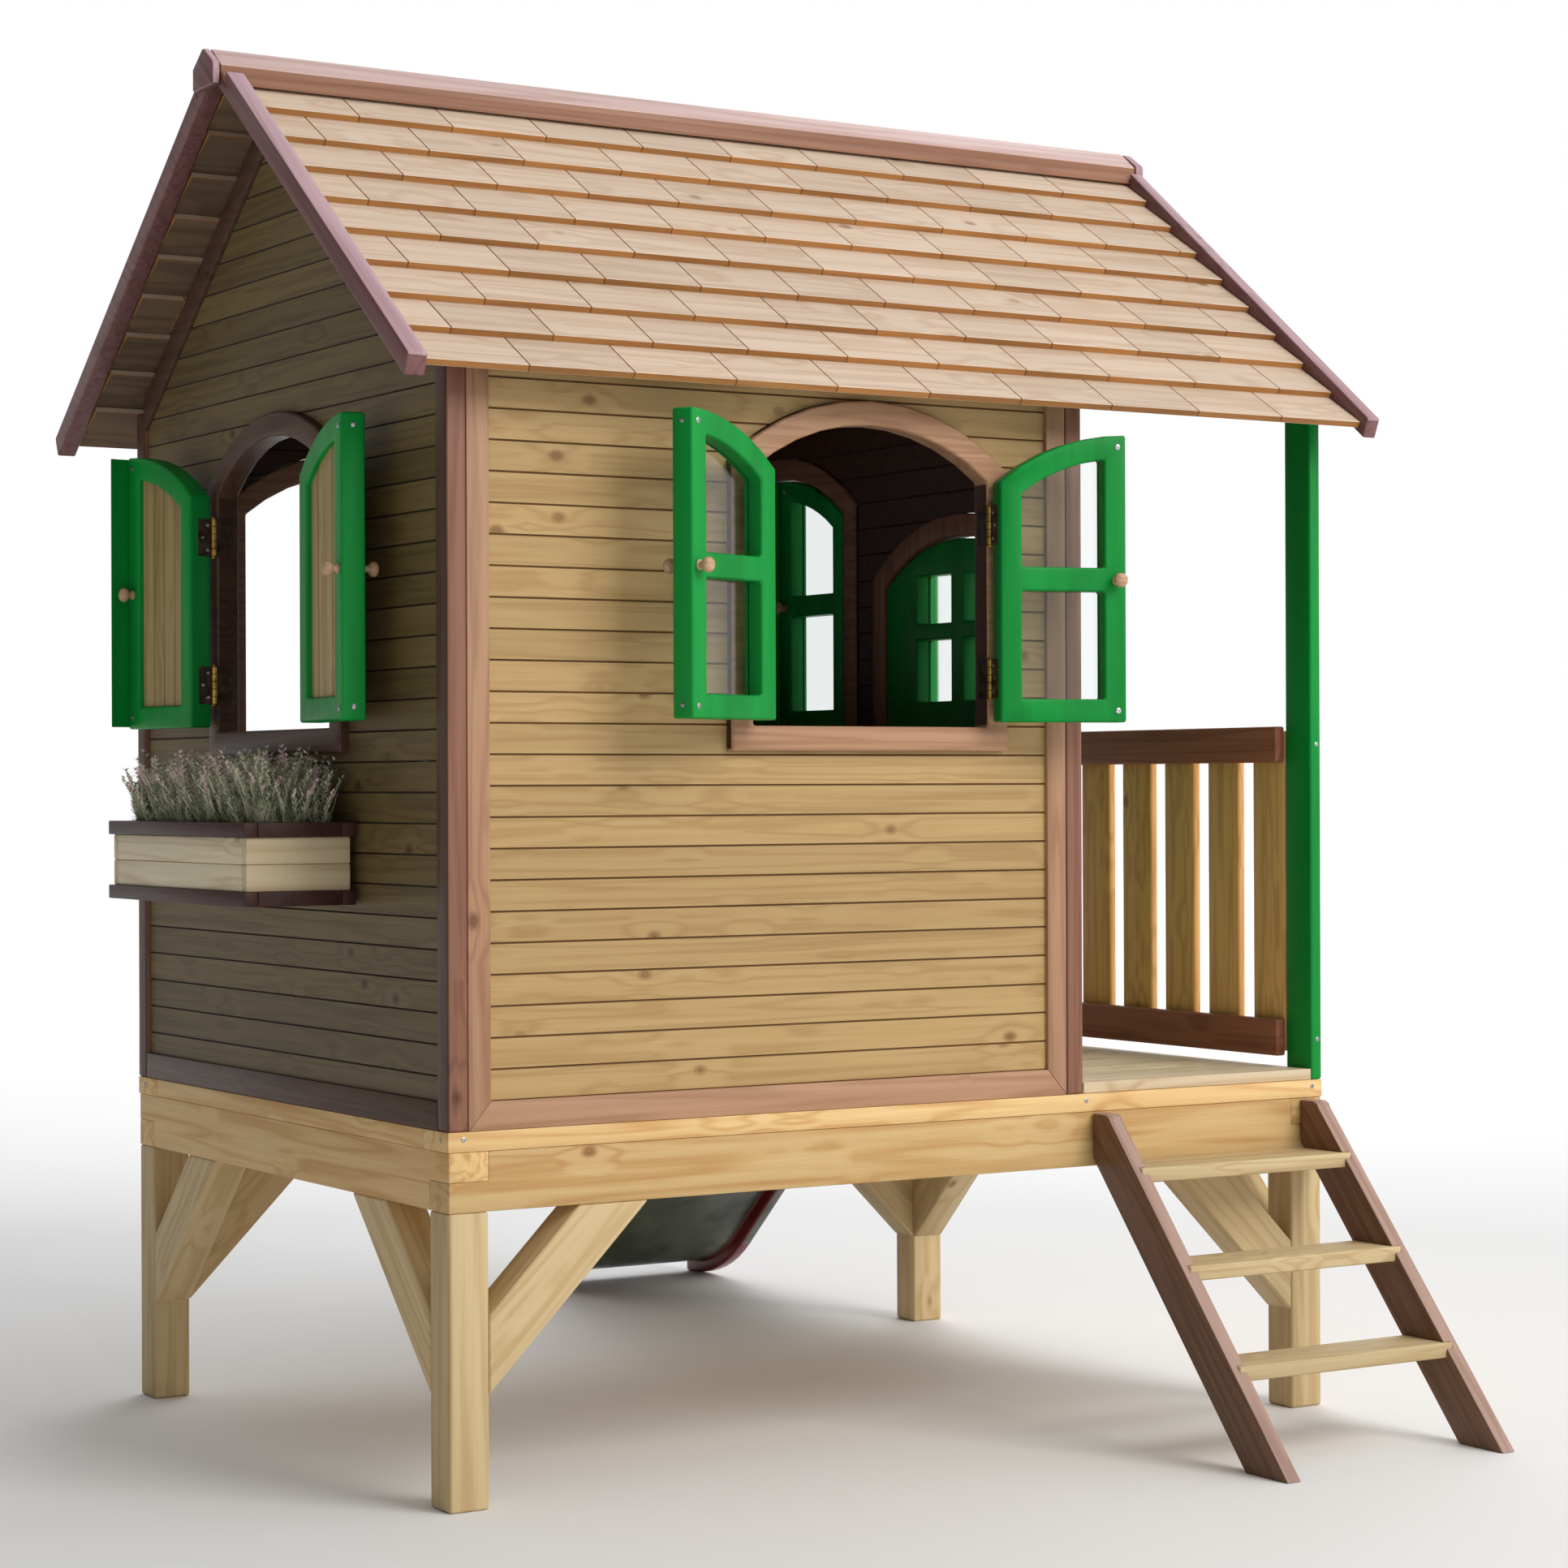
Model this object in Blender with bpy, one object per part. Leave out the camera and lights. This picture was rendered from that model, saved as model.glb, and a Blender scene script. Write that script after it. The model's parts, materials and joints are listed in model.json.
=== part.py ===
"""A small wooden playhouse on four legs, with a veranda, stairs and a plastic slide."""

import math

import bmesh
import bpy

for thing in list(bpy.data.objects):
    bpy.data.objects.remove(thing, do_unlink=True)

# Driving dimensions, in metres. X runs along the platform, Y into its depth, Z up. All of them are
# counted from the top front left corner of the platform.
LENGTH = 1.790
DEPTH = 1.310
GROUND = -0.600
HOUSE = 1.243
MIDDLE = DEPTH / 2
GAP = 0.0003
EASE = 0.003

LEG = 0.070
BEAM_TOP = -0.032
BEAM_LOW = -0.128
BRACE_LOW = -0.420
BRACE_WIDTH = 0.090
DECK_TOP = 0.020

POST_X = 0.036
POST_Y = 0.040
WALL_TOP = 1.250
SIDING_OUT = 0.008
WALL_IN = 0.032
TRIM = 0.040
SKIRTING = 0.046

WINDOW_HALF = 0.237
WINDOW_SILL = 0.644
WINDOW_APEX = 1.153
ARCH_RADIUS = 0.372
ARCH_STEPS = 10
SURROUND = 0.042
SURROUND_OUT = 0.010
DOOR_APEX = 1.003
FRONT_WINDOW = 0.797
GABLE_WINDOW = 0.649
VERANDA_WINDOW = 0.962
DOOR = 0.345

LEAF = 0.041
PIN_OUT = 0.016
LEAF_GAP = 0.004
STILE = 0.040
GLASS = 0.004

EAVE_Y = -0.094
EAVE_TOP = 1.204
SLOPE = 0.785
COURSES = 9
COURSE_PITCH = 0.0785
COURSE_DROP = 0.014
ROOF_THICK = 0.022
ROOF_LEFT = -0.084
ROOF_RIGHT = 1.808
RAKE_LEFT = -0.120
RAKE_RIGHT = 1.838
RAKE_FOOT = (-0.112, 1.209)
RAKE_DEEP = 0.046
RIDGE = 1.811

STAIR_SLOPE = 1.169
STRINGERS = (1.262, 1.737)
STRINGER_THICK = 0.029
STAIR_FOOT = -0.526
TREADS = (-0.122, -0.277, -0.430)
TREAD_THICK = 0.026
TREAD_DEEP = 0.110

PLANTER_OUT = -0.200
SLIDE_END = 2.190
BLOCK_OUT = 1.859

# The object's middle stands over the world's origin, with its feet at height zero.
MID_X = (PLANTER_OUT + BLOCK_OUT) / 2
MID_Y = (STAIR_FOOT + SLIDE_END) / 2


def material(name, colour, roughness):
    made = bpy.data.materials.new(name)
    made.use_nodes = True
    shader = made.node_tree.nodes["Principled BSDF"]
    shader.inputs["Base Color"].default_value = (*colour, 1)
    shader.inputs["Roughness"].default_value = roughness
    return made


PINE = material("pine", (0.66, 0.42, 0.17), 0.6)
SIDING = material("siding", (0.42, 0.28, 0.12), 0.6)
STAIN = material("stain", (0.14, 0.07, 0.05), 0.6)
SHINGLE = material("shingle", (0.70, 0.55, 0.35), 0.6)
RIDGE_STAIN = material("ridge_stain", (0.40, 0.28, 0.32), 0.5)
GREEN = material("green", (0.01, 0.27, 0.05), 0.4)
GLAZING = material("glazing", (0.80, 0.90, 0.92), 0.05)
TREAD = material("tread", (0.60, 0.44, 0.20), 0.6)
SLIDE = material("slide", (0.12, 0.01, 0.01), 0.3)


def frame(name, x, y, z, turn, parent=None):
    """An empty that its pieces are placed from."""
    made = bpy.data.objects.new(name, None)
    bpy.context.scene.collection.objects.link(made)
    made.location = (x, y, z)
    made.rotation_euler.z = turn
    made.parent = parent
    return made


PLATFORM = frame("platform_corner", -MID_X, -MID_Y, -GROUND, 0)


def outline_face(bm, outline, holes):
    """One flat face, or the triangles of a face with holes."""
    loops = []
    for points in (outline, *holes):
        loops.append([bm.verts.new((u, v, 0)) for u, v in points])
    if not holes:
        bm.faces.new(loops[0])
        return
    for loop in loops:
        for i, vert in enumerate(loop):
            bm.edges.new((vert, loop[i - 1]))
    bmesh.ops.triangle_fill(bm, use_beauty=True, use_dissolve=False, edges=bm.edges[:])


def prism(name, plane, outline, low, high, paint, parent=None, holes=(), ease=EASE):
    """A board: an outline in the plane across one axis, drawn out from low to high along it."""
    bm = bmesh.new()
    outline_face(bm, outline, holes)
    grown = bmesh.ops.extrude_face_region(bm, geom=bm.faces[:])
    for item in grown["geom"]:
        if isinstance(item, bmesh.types.BMVert):
            item.co.z = high - low
    for vert in bm.verts:
        u, v, w = vert.co
        w += low
        vert.co = {"x": (w, u, v), "y": (u, w, v), "z": (u, v, w)}[plane]
    bmesh.ops.recalc_face_normals(bm, faces=bm.faces[:])
    mesh = bpy.data.meshes.new(name)
    bm.to_mesh(mesh)
    bm.free()
    mesh.materials.append(paint)
    made = bpy.data.objects.new(name, mesh)
    bpy.context.scene.collection.objects.link(made)
    made.parent = parent or PLATFORM
    if ease:
        bevel = made.modifiers.new("eased_edges", "BEVEL")
        bevel.width = ease
        bevel.segments = 1
        bevel.limit_method = "ANGLE"
        bevel.angle_limit = math.radians(30)
    return made


def rectangle(u0, u1, v0, v1):
    return [(u0, v0), (u1, v0), (u1, v1), (u0, v1)]


def box(name, x, y, z, paint, parent=None, ease=EASE):
    return prism(name, "z", rectangle(*x, *y), *z, paint, parent, ease=ease)


def joined(main, operation, *helpers):
    """Adds the helpers to the main piece, or cuts them out of it."""
    for helper in helpers:
        helper.hide_render = True
        helper.display_type = "WIRE"
        step = main.modifiers.new(operation.lower(), "BOOLEAN")
        step.operation = operation
        step.object = helper
    return main


def arc(centre, half, apex, radius, steps=ARCH_STEPS):
    """The top of an arch, from its right spring to its left one."""
    across = math.asin(half / radius)
    turns = [across * (1 - 2 * i / steps) for i in range(steps + 1)]
    return [(centre + radius * math.sin(a), apex - radius + radius * math.cos(a)) for a in turns]


def arch(centre, half, foot, apex, radius):
    """An arched opening: straight sides on a flat foot, under a round head."""
    return [(centre - half, foot), (centre + half, foot), *arc(centre, half, apex, radius)]


# Underframe: four legs under a ring of half-lapped beams, with two braces at each leg.
LEG_X = {"left": (0.002, 0.072), "right": (LENGTH - 0.072, LENGTH - 0.002)}
LEG_Y = {"front": (0.002, 0.072), "rear": (DEPTH - 0.072, DEPTH - 0.002)}
HALF_LAP = (BEAM_TOP + BEAM_LOW) / 2


def brace_outline(side, low, high):
    """A brace at 45 degrees between a leg's face and the beam's underside."""
    face = high + GAP if side < 0 else low - GAP
    top = BEAM_LOW - GAP
    upper = BRACE_LOW + BRACE_WIDTH * math.sqrt(2)
    points = [(0, BRACE_LOW), (top - BRACE_LOW, top), (top - upper, top), (0, upper)]
    return [(face - side * out, z) for out, z in points]


for depth, (y0, y1) in LEG_Y.items():
    for side, (x0, x1) in LEG_X.items():
        name = f"{depth}_{side}"
        box(f"{name}_leg", (x0, x1), (y0, y1), (GROUND, BEAM_LOW - GAP), PINE)
        along = brace_outline(-1 if side == "left" else 1, x0, x1)
        prism(f"{name}_long_brace", "y", along, y0, y1, PINE)
        across = brace_outline(-1 if depth == "front" else 1, y0, y1)
        prism(f"{name}_cross_brace", "x", across, x0, x1, PINE)


def beam_outline(start, end, lapped_low):
    """A beam from the side, with half of its depth cut away at each end."""
    lap = LEG + GAP
    low = (start + lap, end - lap) if lapped_low else (start, end)
    high = (start, end) if lapped_low else (start + lap, end - lap)
    step = HALF_LAP + (GAP if lapped_low else -GAP) / 2
    top = BEAM_TOP - GAP
    return [
        (low[0], BEAM_LOW),
        (low[1], BEAM_LOW),
        (low[1], step),
        (high[1], step),
        (high[1], top),
        (high[0], top),
        (high[0], step),
        (low[0], step),
    ]


for depth, (y0, y1) in LEG_Y.items():
    prism(f"{depth}_beam", "y", beam_outline(0.002, LENGTH - 0.002, False), y0, y1, PINE, ease=0)
for side, (x0, x1) in LEG_X.items():
    prism(f"{side}_beam", "x", beam_outline(0.002, DEPTH - 0.002, True), x0, x1, PINE, ease=0)

# The platform's edge frame, and the floor that runs from the room out onto the veranda.
prism(
    "platform_frame",
    "z",
    rectangle(0, LENGTH, 0, DEPTH),
    BEAM_TOP,
    0,
    PINE,
    holes=[rectangle(0.090, LENGTH - 0.090, 0.090, DEPTH - 0.090)],
    ease=0.002,
)
ROOM_IN = 0.0355
VERANDA_POST_X = 1.765
prism(
    "floor",
    "z",
    [
        (ROOM_IN, POST_Y + GAP),
        (HOUSE + GAP, POST_Y + GAP),
        (HOUSE + GAP, 0.001),
        (VERANDA_POST_X - GAP, 0.001),
        (VERANDA_POST_X - GAP, DEPTH - 0.001),
        (HOUSE + GAP, DEPTH - 0.001),
        (HOUSE + GAP, DEPTH - POST_Y - GAP),
        (ROOM_IN, DEPTH - POST_Y - GAP),
    ],
    GAP,
    DECK_TOP,
    TREAD,
    ease=0.002,
)

# Each wall has a frame of its own: X along the wall as seen from outside, Y inwards.
FRONT = frame("front_side", 0, 0, 0, 0, PLATFORM)
LEFT = frame("left_side", 0, DEPTH, 0, -math.pi / 2, PLATFORM)
VERANDA = frame("veranda_side", HOUSE, 0, 0, math.pi / 2, PLATFORM)
REAR = frame("rear_side", HOUSE, DEPTH, 0, math.pi, PLATFORM)
UNDERSIDE = EAVE_TOP - ROOF_THICK


def under_roof(y):
    """The height of the roof boards' underside over a depth Y."""
    return UNDERSIDE + SLOPE * (min(y, DEPTH - y) - EAVE_Y)


for depth, y in (("front", (0, POST_Y)), ("rear", (DEPTH - POST_Y, DEPTH))):
    for side, x in (("left", (0, POST_X)), ("right", (HOUSE - POST_X, HOUSE))):
        box(f"{depth}_{side}_corner_post", x, y, (GAP, WALL_TOP), STAIN)


def surround_hole(centre):
    """The hole in a wall that a window's surround is fitted into."""
    edge = SURROUND + GAP
    return arch(
        centre, WINDOW_HALF + edge, WINDOW_SILL - edge, WINDOW_APEX + edge, ARCH_RADIUS + edge
    )


def long_wall(name, parent, window):
    """A wall under the eaves: siding with a picture frame of boards on its face."""
    x0 = POST_X + GAP
    x1 = HOUSE - POST_X - GAP
    siding = prism(
        name,
        "y",
        rectangle(x0, x1, GAP, WALL_TOP),
        SIDING_OUT,
        WALL_IN,
        SIDING,
        parent,
        [surround_hole(window)],
        0,
    )
    trim = prism(
        f"{name}_trim",
        "y",
        rectangle(x0, x1, GAP, WALL_TOP),
        0,
        SIDING_OUT + 0.004,
        STAIN,
        parent,
        [rectangle(x0 + TRIM, x1 - TRIM, SKIRTING, WALL_TOP - TRIM)],
        0,
    )
    return joined(siding, "UNION", trim)


long_wall("front_wall", FRONT, FRONT_WINDOW)
long_wall("rear_wall", REAR, FRONT_WINDOW)


def gable_outline(foot, inset):
    """The five sides of a gable wall between its posts, up to the roof."""
    y0 = POST_Y + GAP
    y1 = DEPTH - y0
    return [
        (y0, foot),
        (y1, foot),
        (y1, under_roof(y1) - inset),
        (MIDDLE, under_roof(MIDDLE) - inset),
        (y0, under_roof(y0) - inset),
    ]


def gable_trims(name, parent, foot):
    """The skirting board and the two sloping boards under the roof."""
    y0 = POST_Y + GAP
    thick = (0, SIDING_OUT + 0.004)
    rake = gable_outline(foot, 0.001)[2:] + gable_outline(foot, 0.056)[:1:-1]
    return [prism(f"{name}_rake", "y", rake, *thick, STAIN, parent, ease=0)] + [
        prism(f"{name}_skirting", "y", run, *thick, STAIN, parent, ease=0)
        for run in skirting_runs(y0, DEPTH - y0, foot, name)
    ]


def skirting_runs(start, end, foot, name):
    """The skirting is one board, or stops on each side of a door."""
    if name != "veranda_wall":
        return [rectangle(start, end, foot, foot + SKIRTING)]
    edge = WINDOW_HALF + SURROUND + GAP
    return [
        rectangle(DOOR + edge, end, foot, foot + SKIRTING),
    ]


left_wall = prism(
    "left_wall",
    "y",
    gable_outline(GAP, 0.001),
    SIDING_OUT,
    WALL_IN,
    SIDING,
    LEFT,
    [surround_hole(GABLE_WINDOW)],
    0,
)
joined(left_wall, "UNION", *gable_trims("left_wall", LEFT, GAP))

DOOR_EDGE = SURROUND + GAP
VERANDA_FOOT = DECK_TOP + GAP
door_hole = [
    (DOOR - WINDOW_HALF - DOOR_EDGE, VERANDA_FOOT),
    *arc(DOOR, WINDOW_HALF + DOOR_EDGE, DOOR_APEX + DOOR_EDGE, ARCH_RADIUS + DOOR_EDGE)[::-1],
    (DOOR + WINDOW_HALF + DOOR_EDGE, VERANDA_FOOT),
]
veranda_outline = gable_outline(VERANDA_FOOT, 0.001)
veranda_wall = prism(
    "veranda_wall",
    "y",
    veranda_outline[:1] + door_hole + veranda_outline[1:],
    SIDING_OUT,
    WALL_IN,
    SIDING,
    VERANDA,
    [surround_hole(VERANDA_WINDOW)],
    0,
)
joined(veranda_wall, "UNION", *gable_trims("veranda_wall", VERANDA, VERANDA_FOOT))


# Arched surrounds line the openings and stand a little proud of the walls.
def window_surround(name, parent, centre):
    outer = arch(
        centre,
        WINDOW_HALF + SURROUND,
        WINDOW_SILL - SURROUND,
        WINDOW_APEX + SURROUND,
        ARCH_RADIUS + SURROUND,
    )
    inner = arch(centre, WINDOW_HALF, WINDOW_SILL, WINDOW_APEX, ARCH_RADIUS)
    prism(name, "y", outer, -SURROUND_OUT, WALL_IN, STAIN, parent, [inner])


window_surround("front_window_surround", FRONT, FRONT_WINDOW)
window_surround("left_window_surround", LEFT, GABLE_WINDOW)
window_surround("rear_window_surround", REAR, FRONT_WINDOW)
window_surround("veranda_window_surround", VERANDA, VERANDA_WINDOW)

door_outer = arc(DOOR, WINDOW_HALF + SURROUND, DOOR_APEX + SURROUND, ARCH_RADIUS + SURROUND)
door_inner = arc(DOOR, WINDOW_HALF, DOOR_APEX, ARCH_RADIUS)
prism(
    "door_surround",
    "y",
    [
        (DOOR + WINDOW_HALF, VERANDA_FOOT),
        (DOOR + WINDOW_HALF + SURROUND, VERANDA_FOOT),
        *door_outer,
        (DOOR - WINDOW_HALF - SURROUND, VERANDA_FOOT),
        (DOOR - WINDOW_HALF, VERANDA_FOOT),
        *door_inner[::-1],
    ],
    -SURROUND_OUT,
    WALL_IN,
    STAIN,
    VERANDA,
)


# Hinged leaves. Each is modelled shut, from its hinge pin, and its frame turns it open.
def hinge(name, wall, centre, hand, opened):
    """The hinge pin of a leaf: hand is 1 where the pin is at the left jamb, -1 at the right."""
    x = centre - hand * WINDOW_HALF
    return frame(f"{name}_hinge", x, -PIN_OUT, 0, -hand * math.radians(opened), wall)


def leaf_outline(hand, low, high, foot, apex, radius, steps=6):
    """A part of an arched leaf from low to high across, measured from the hinge pin."""
    head = []
    for i in range(steps + 1):
        x = high + (low - high) * i / steps
        head.append((x, apex - radius + math.sqrt(radius**2 - (x - WINDOW_HALF) ** 2)))
    return [(hand * x, z) for x, z in [(low, foot), (high, foot), *head]]


LEAF_LOW = 0.003
LEAF_HIGH = WINDOW_HALF - 0.002
LEAF_FOOT = WINDOW_SILL + 0.008
LEAF_APEX = WINDOW_APEX - LEAF_GAP
LEAF_RADIUS = ARCH_RADIUS - LEAF_GAP
LEAF_BACK = PIN_OUT - SURROUND_OUT - 0.002
MID_RAIL = (0.878, 0.919)


def leaf_openings(hand, low, high, foot, apex, radius, rails):
    """The lights of a leaf: one above and one below its middle rail, or one if it has no rail."""
    left = low + STILE
    right = high - STILE
    if not rails:
        return [leaf_outline(hand, left, right, foot + STILE, apex - STILE, radius - STILE)]
    lower = [(left, foot + STILE), (right, foot + STILE), (right, rails[0]), (left, rails[0])]
    upper = leaf_outline(hand, left, right, rails[1], apex - STILE, radius - STILE)
    return [[(hand * x, z) for x, z in lower], upper]


def window_leaf(name, wall, centre, hand, opened, paint, glazed):
    """Half of an arched window: a frame around glass and a middle rail, or around tall boards."""
    pin = hinge(name, wall, centre, hand, opened)
    shape = (hand, LEAF_LOW, LEAF_HIGH, LEAF_FOOT, LEAF_APEX, LEAF_RADIUS)
    rails = MID_RAIL if glazed else ()
    holes = leaf_openings(*shape, rails)
    made = prism(
        name,
        "y",
        leaf_outline(*shape),
        LEAF_BACK,
        LEAF_BACK + LEAF,
        paint,
        pin,
        holes,
    )
    inset = STILE - 0.008
    panel = (
        hand,
        LEAF_LOW + inset,
        LEAF_HIGH - inset,
        LEAF_FOOT + inset,
        LEAF_APEX - inset,
        LEAF_RADIUS - inset,
    )
    if not glazed:
        boards = prism(
            f"{name}_boards", "y", leaf_outline(*panel), LEAF_BACK + 0.012, LEAF_BACK + 0.029,
            paint, pin, ease=0,
        )
        joined(made, "UNION", boards)
        return
    front = LEAF_BACK + 0.008
    groove = prism(f"{name}_groove", "y", leaf_outline(*panel), front, front + GLASS + 2 * GAP,
                   paint, pin, ease=0)
    joined(made, "DIFFERENCE", groove)
    edge = inset + GAP
    pane = (
        hand,
        LEAF_LOW + edge,
        LEAF_HIGH - edge,
        LEAF_FOOT + edge,
        LEAF_APEX - edge,
        LEAF_RADIUS - edge,
    )
    prism(f"{name}_pane", "y", leaf_outline(*pane), front + GAP, front + GAP + GLASS,
          GLAZING, pin, ease=0)


window_leaf("front_left_casement", FRONT, FRONT_WINDOW, 1, 157, GREEN, True)
window_leaf("front_right_casement", FRONT, FRONT_WINDOW, -1, 165, GREEN, True)
window_leaf("rear_shutter", LEFT, GABLE_WINDOW, 1, 173, GREEN, False)
window_leaf("front_shutter", LEFT, GABLE_WINDOW, -1, 173, GREEN, False)
window_leaf("front_veranda_sash", VERANDA, VERANDA_WINDOW, 1, 0, GREEN, True)
window_leaf("rear_veranda_sash", VERANDA, VERANDA_WINDOW, -1, 0, GREEN, True)

# The door is one leaf with a glazed upper half of four lights.
DOOR_FOOT = DECK_TOP + 0.006
DOOR_HIGH = 2 * WINDOW_HALF - LEAF_LOW
DOOR_LEAF_APEX = DOOR_APEX - LEAF_GAP
DOOR_STILE = 0.105
door_pin = hinge("door", VERANDA, DOOR, 1, 0)
door_shape = (LEAF_LOW, DOOR_HIGH, DOOR_FOOT, DOOR_LEAF_APEX, LEAF_RADIUS)
PANE_LOW = 0.700
PANE_HIGH = 0.935
DOOR_BARS = (WINDOW_HALF - 0.020, WINDOW_HALF + 0.020)
DOOR_RAILS = (0.815, 0.845)
lights = []
for u in ((DOOR_STILE, DOOR_BARS[0]), (DOOR_BARS[1], 2 * WINDOW_HALF - DOOR_STILE)):
    for v in ((PANE_LOW, DOOR_RAILS[0]), (DOOR_RAILS[1], PANE_HIGH)):
        lights.append(rectangle(*u, *v))
door = prism("door", "y", leaf_outline(1, *door_shape, 10), LEAF_BACK, LEAF_BACK + LEAF,
             GREEN, door_pin, lights)
EDGE = 0.008
groove = prism(
    "door_groove",
    "y",
    rectangle(
        DOOR_STILE - EDGE, 2 * WINDOW_HALF - DOOR_STILE + EDGE, PANE_LOW - EDGE, PANE_HIGH + EDGE
    ),
    LEAF_BACK + EDGE,
    LEAF_BACK + EDGE + GLASS + 2 * GAP,
    GREEN,
    door_pin,
    ease=0,
)
joined(door, "DIFFERENCE", groove)
EDGE -= GAP
prism(
    "door_pane",
    "y",
    rectangle(
        DOOR_STILE - EDGE, 2 * WINDOW_HALF - DOOR_STILE + EDGE, PANE_LOW - EDGE, PANE_HIGH + EDGE
    ),
    LEAF_BACK + 0.008 + GAP,
    LEAF_BACK + 0.008 + GAP + GLASS,
    GLAZING,
    door_pin,
    ease=0,
)


# Roof: lapped boards on two slopes, a bargeboard at each end, and a ridge cap between end blocks.
def mirrored(points):
    return [(DEPTH - y, z) for y, z in points][::-1]


def slope_outline():
    """The front slope: a flat underside, and a step up at each course of boards."""
    ridge = MIDDLE - GAP
    tilt = SLOPE - COURSE_DROP / COURSE_PITCH
    points = [(EAVE_Y, UNDERSIDE), (ridge, under_roof(ridge))]
    end = ridge
    for i in range(COURSES - 1, -1, -1):
        y = EAVE_Y + COURSE_PITCH * i
        z = EAVE_TOP + SLOPE * COURSE_PITCH * i
        points += [(end, z + tilt * (end - y)), (y, z)]
        end = y
    return points


prism("front_roof", "x", slope_outline(), ROOF_LEFT, ROOF_RIGHT, SHINGLE, ease=0)
prism("rear_roof", "x", mirrored(slope_outline()), ROOF_LEFT, ROOF_RIGHT, SHINGLE, ease=0)

CAP_HALF = 0.062
CAP_UPPER = 0.042
CAP_UPPER_THICK = 0.0127
CAP_THICK = 0.0229


def cap_line(out, drop):
    """A point of the ridge cap, out from the ridge and dropped below its apex line."""
    return (MIDDLE - out, RIDGE - drop - SLOPE * out)


half_cap = [
    cap_line(0, CAP_THICK),
    cap_line(CAP_HALF, CAP_THICK),
    cap_line(CAP_HALF, CAP_UPPER_THICK),
    cap_line(CAP_UPPER, CAP_UPPER_THICK),
    cap_line(CAP_UPPER, 0),
    cap_line(0, 0),
]
cap_outline = half_cap + mirrored(half_cap)[1:-1]
prism("ridge_cap", "x", cap_outline, RAKE_LEFT + 0.001, RAKE_RIGHT - 0.001, RIDGE_STAIN, ease=0)

rake_top = [
    RAKE_FOOT,
    cap_line(CAP_HALF + GAP, RIDGE - RAKE_FOOT[1] - SLOPE * (MIDDLE - RAKE_FOOT[0])),
    cap_line(CAP_HALF + GAP, CAP_THICK + GAP),
    cap_line(0, CAP_THICK + GAP),
]
rake_low = [(RAKE_FOOT[0] + 0.014, RAKE_FOOT[1] + 0.011 - RAKE_DEEP)]
rake_outline = rake_top + mirrored(rake_top)[1:] + mirrored(rake_low)
rake_outline += [(MIDDLE, RIDGE - RAKE_DEEP)] + rake_low
prism("left_bargeboard", "x", rake_outline, RAKE_LEFT, ROOF_LEFT - GAP, RIDGE_STAIN, ease=0)
prism("right_bargeboard", "x", rake_outline, ROOF_RIGHT + GAP, RAKE_RIGHT, RIDGE_STAIN, ease=0)

block_outline = [
    (MIDDLE - 0.044, 1.741),
    (MIDDLE + 0.044, 1.741),
    (MIDDLE + 0.044, 1.781),
    (MIDDLE, RIDGE),
    (MIDDLE - 0.044, 1.781),
]
prism("left_ridge_block", "x", block_outline, RAKE_LEFT - 0.016, RAKE_LEFT - GAP, RIDGE_STAIN)
prism("right_ridge_block", "x", block_outline, RAKE_RIGHT + GAP, BLOCK_OUT, RIDGE_STAIN)

# Veranda: two posts under the roof's far end, with a slatted railing between them.
POST_OUT = 0.0255
POST_DEEP = 0.072
for name, y in (("front", (0, POST_DEEP)), ("rear", (DEPTH - POST_DEEP, DEPTH))):
    box(f"{name}_veranda_post", (VERANDA_POST_X, VERANDA_POST_X + POST_OUT - 0.0005), y,
        (GAP, WALL_TOP), GREEN)

RAIL_X = (VERANDA_POST_X - 0.022, VERANDA_POST_X + 0.004)
SLAT_X = (VERANDA_POST_X + 0.001, VERANDA_POST_X + 0.017)
SLATS = 9
RAIL_Y = (POST_DEEP + GAP, DEPTH - POST_DEEP - GAP)
railing = box("veranda_railing", RAIL_X, RAIL_Y, (0.040, 0.108), STAIN, ease=0)
parts = [box("top_rail", RAIL_X, RAIL_Y, (0.584, 0.651), STAIN, ease=0)]
SLAT_PITCH = (RAIL_Y[1] - RAIL_Y[0] + 0.038) / SLATS
for i in range(SLATS):
    y = RAIL_Y[0] + SLAT_PITCH * i + 0.002
    parts.append(box(f"slat_{i}", SLAT_X, (y, y + SLAT_PITCH - 0.042), (0.048, 0.643), TREAD, ease=0))
joined(railing, "UNION", *parts)

# Stairs: two stringers against the front beam, and three treads let into them.
STAIR_BACK = -0.0013
STAIR_TOP = -0.0345
stair_side = [
    (STAIR_BACK, STAIR_TOP),
    (STAIR_BACK, -0.114),
    (STAIR_FOOT + 0.109, GROUND),
    (STAIR_FOOT, GROUND),
    (-0.051, -0.046),
    (-0.047, -0.0385),
    (-0.037, STAIR_TOP),
]
tread_x = (STRINGERS[0] + STRINGER_THICK / 2, STRINGERS[1] + STRINGER_THICK / 2)


def tread_box(name, top, gap, ease):
    """A tread, or with a gap added the housing that it is let into."""
    front = -0.124 + (top - TREADS[0]) / STAIR_SLOPE
    return box(
        name,
        (tread_x[0] - gap, tread_x[1] + gap),
        (front - gap, front + TREAD_DEEP + gap),
        (top - TREAD_THICK - gap, top + gap),
        TREAD,
        ease=ease,
    )


for side, x in zip(("left", "right"), STRINGERS):
    span = (x, x + STRINGER_THICK)
    stringer = prism(f"{side}_stringer", "x", stair_side, *span, STAIN, ease=0)
    housings = [tread_box(f"{side}_housing_{i}", top, GAP, 0) for i, top in enumerate(TREADS)]
    joined(stringer, "DIFFERENCE", *housings)
for name, top in zip(("top", "middle", "bottom"), TREADS):
    tread_box(f"{name}_tread", top, 0, 0.002)

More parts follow.
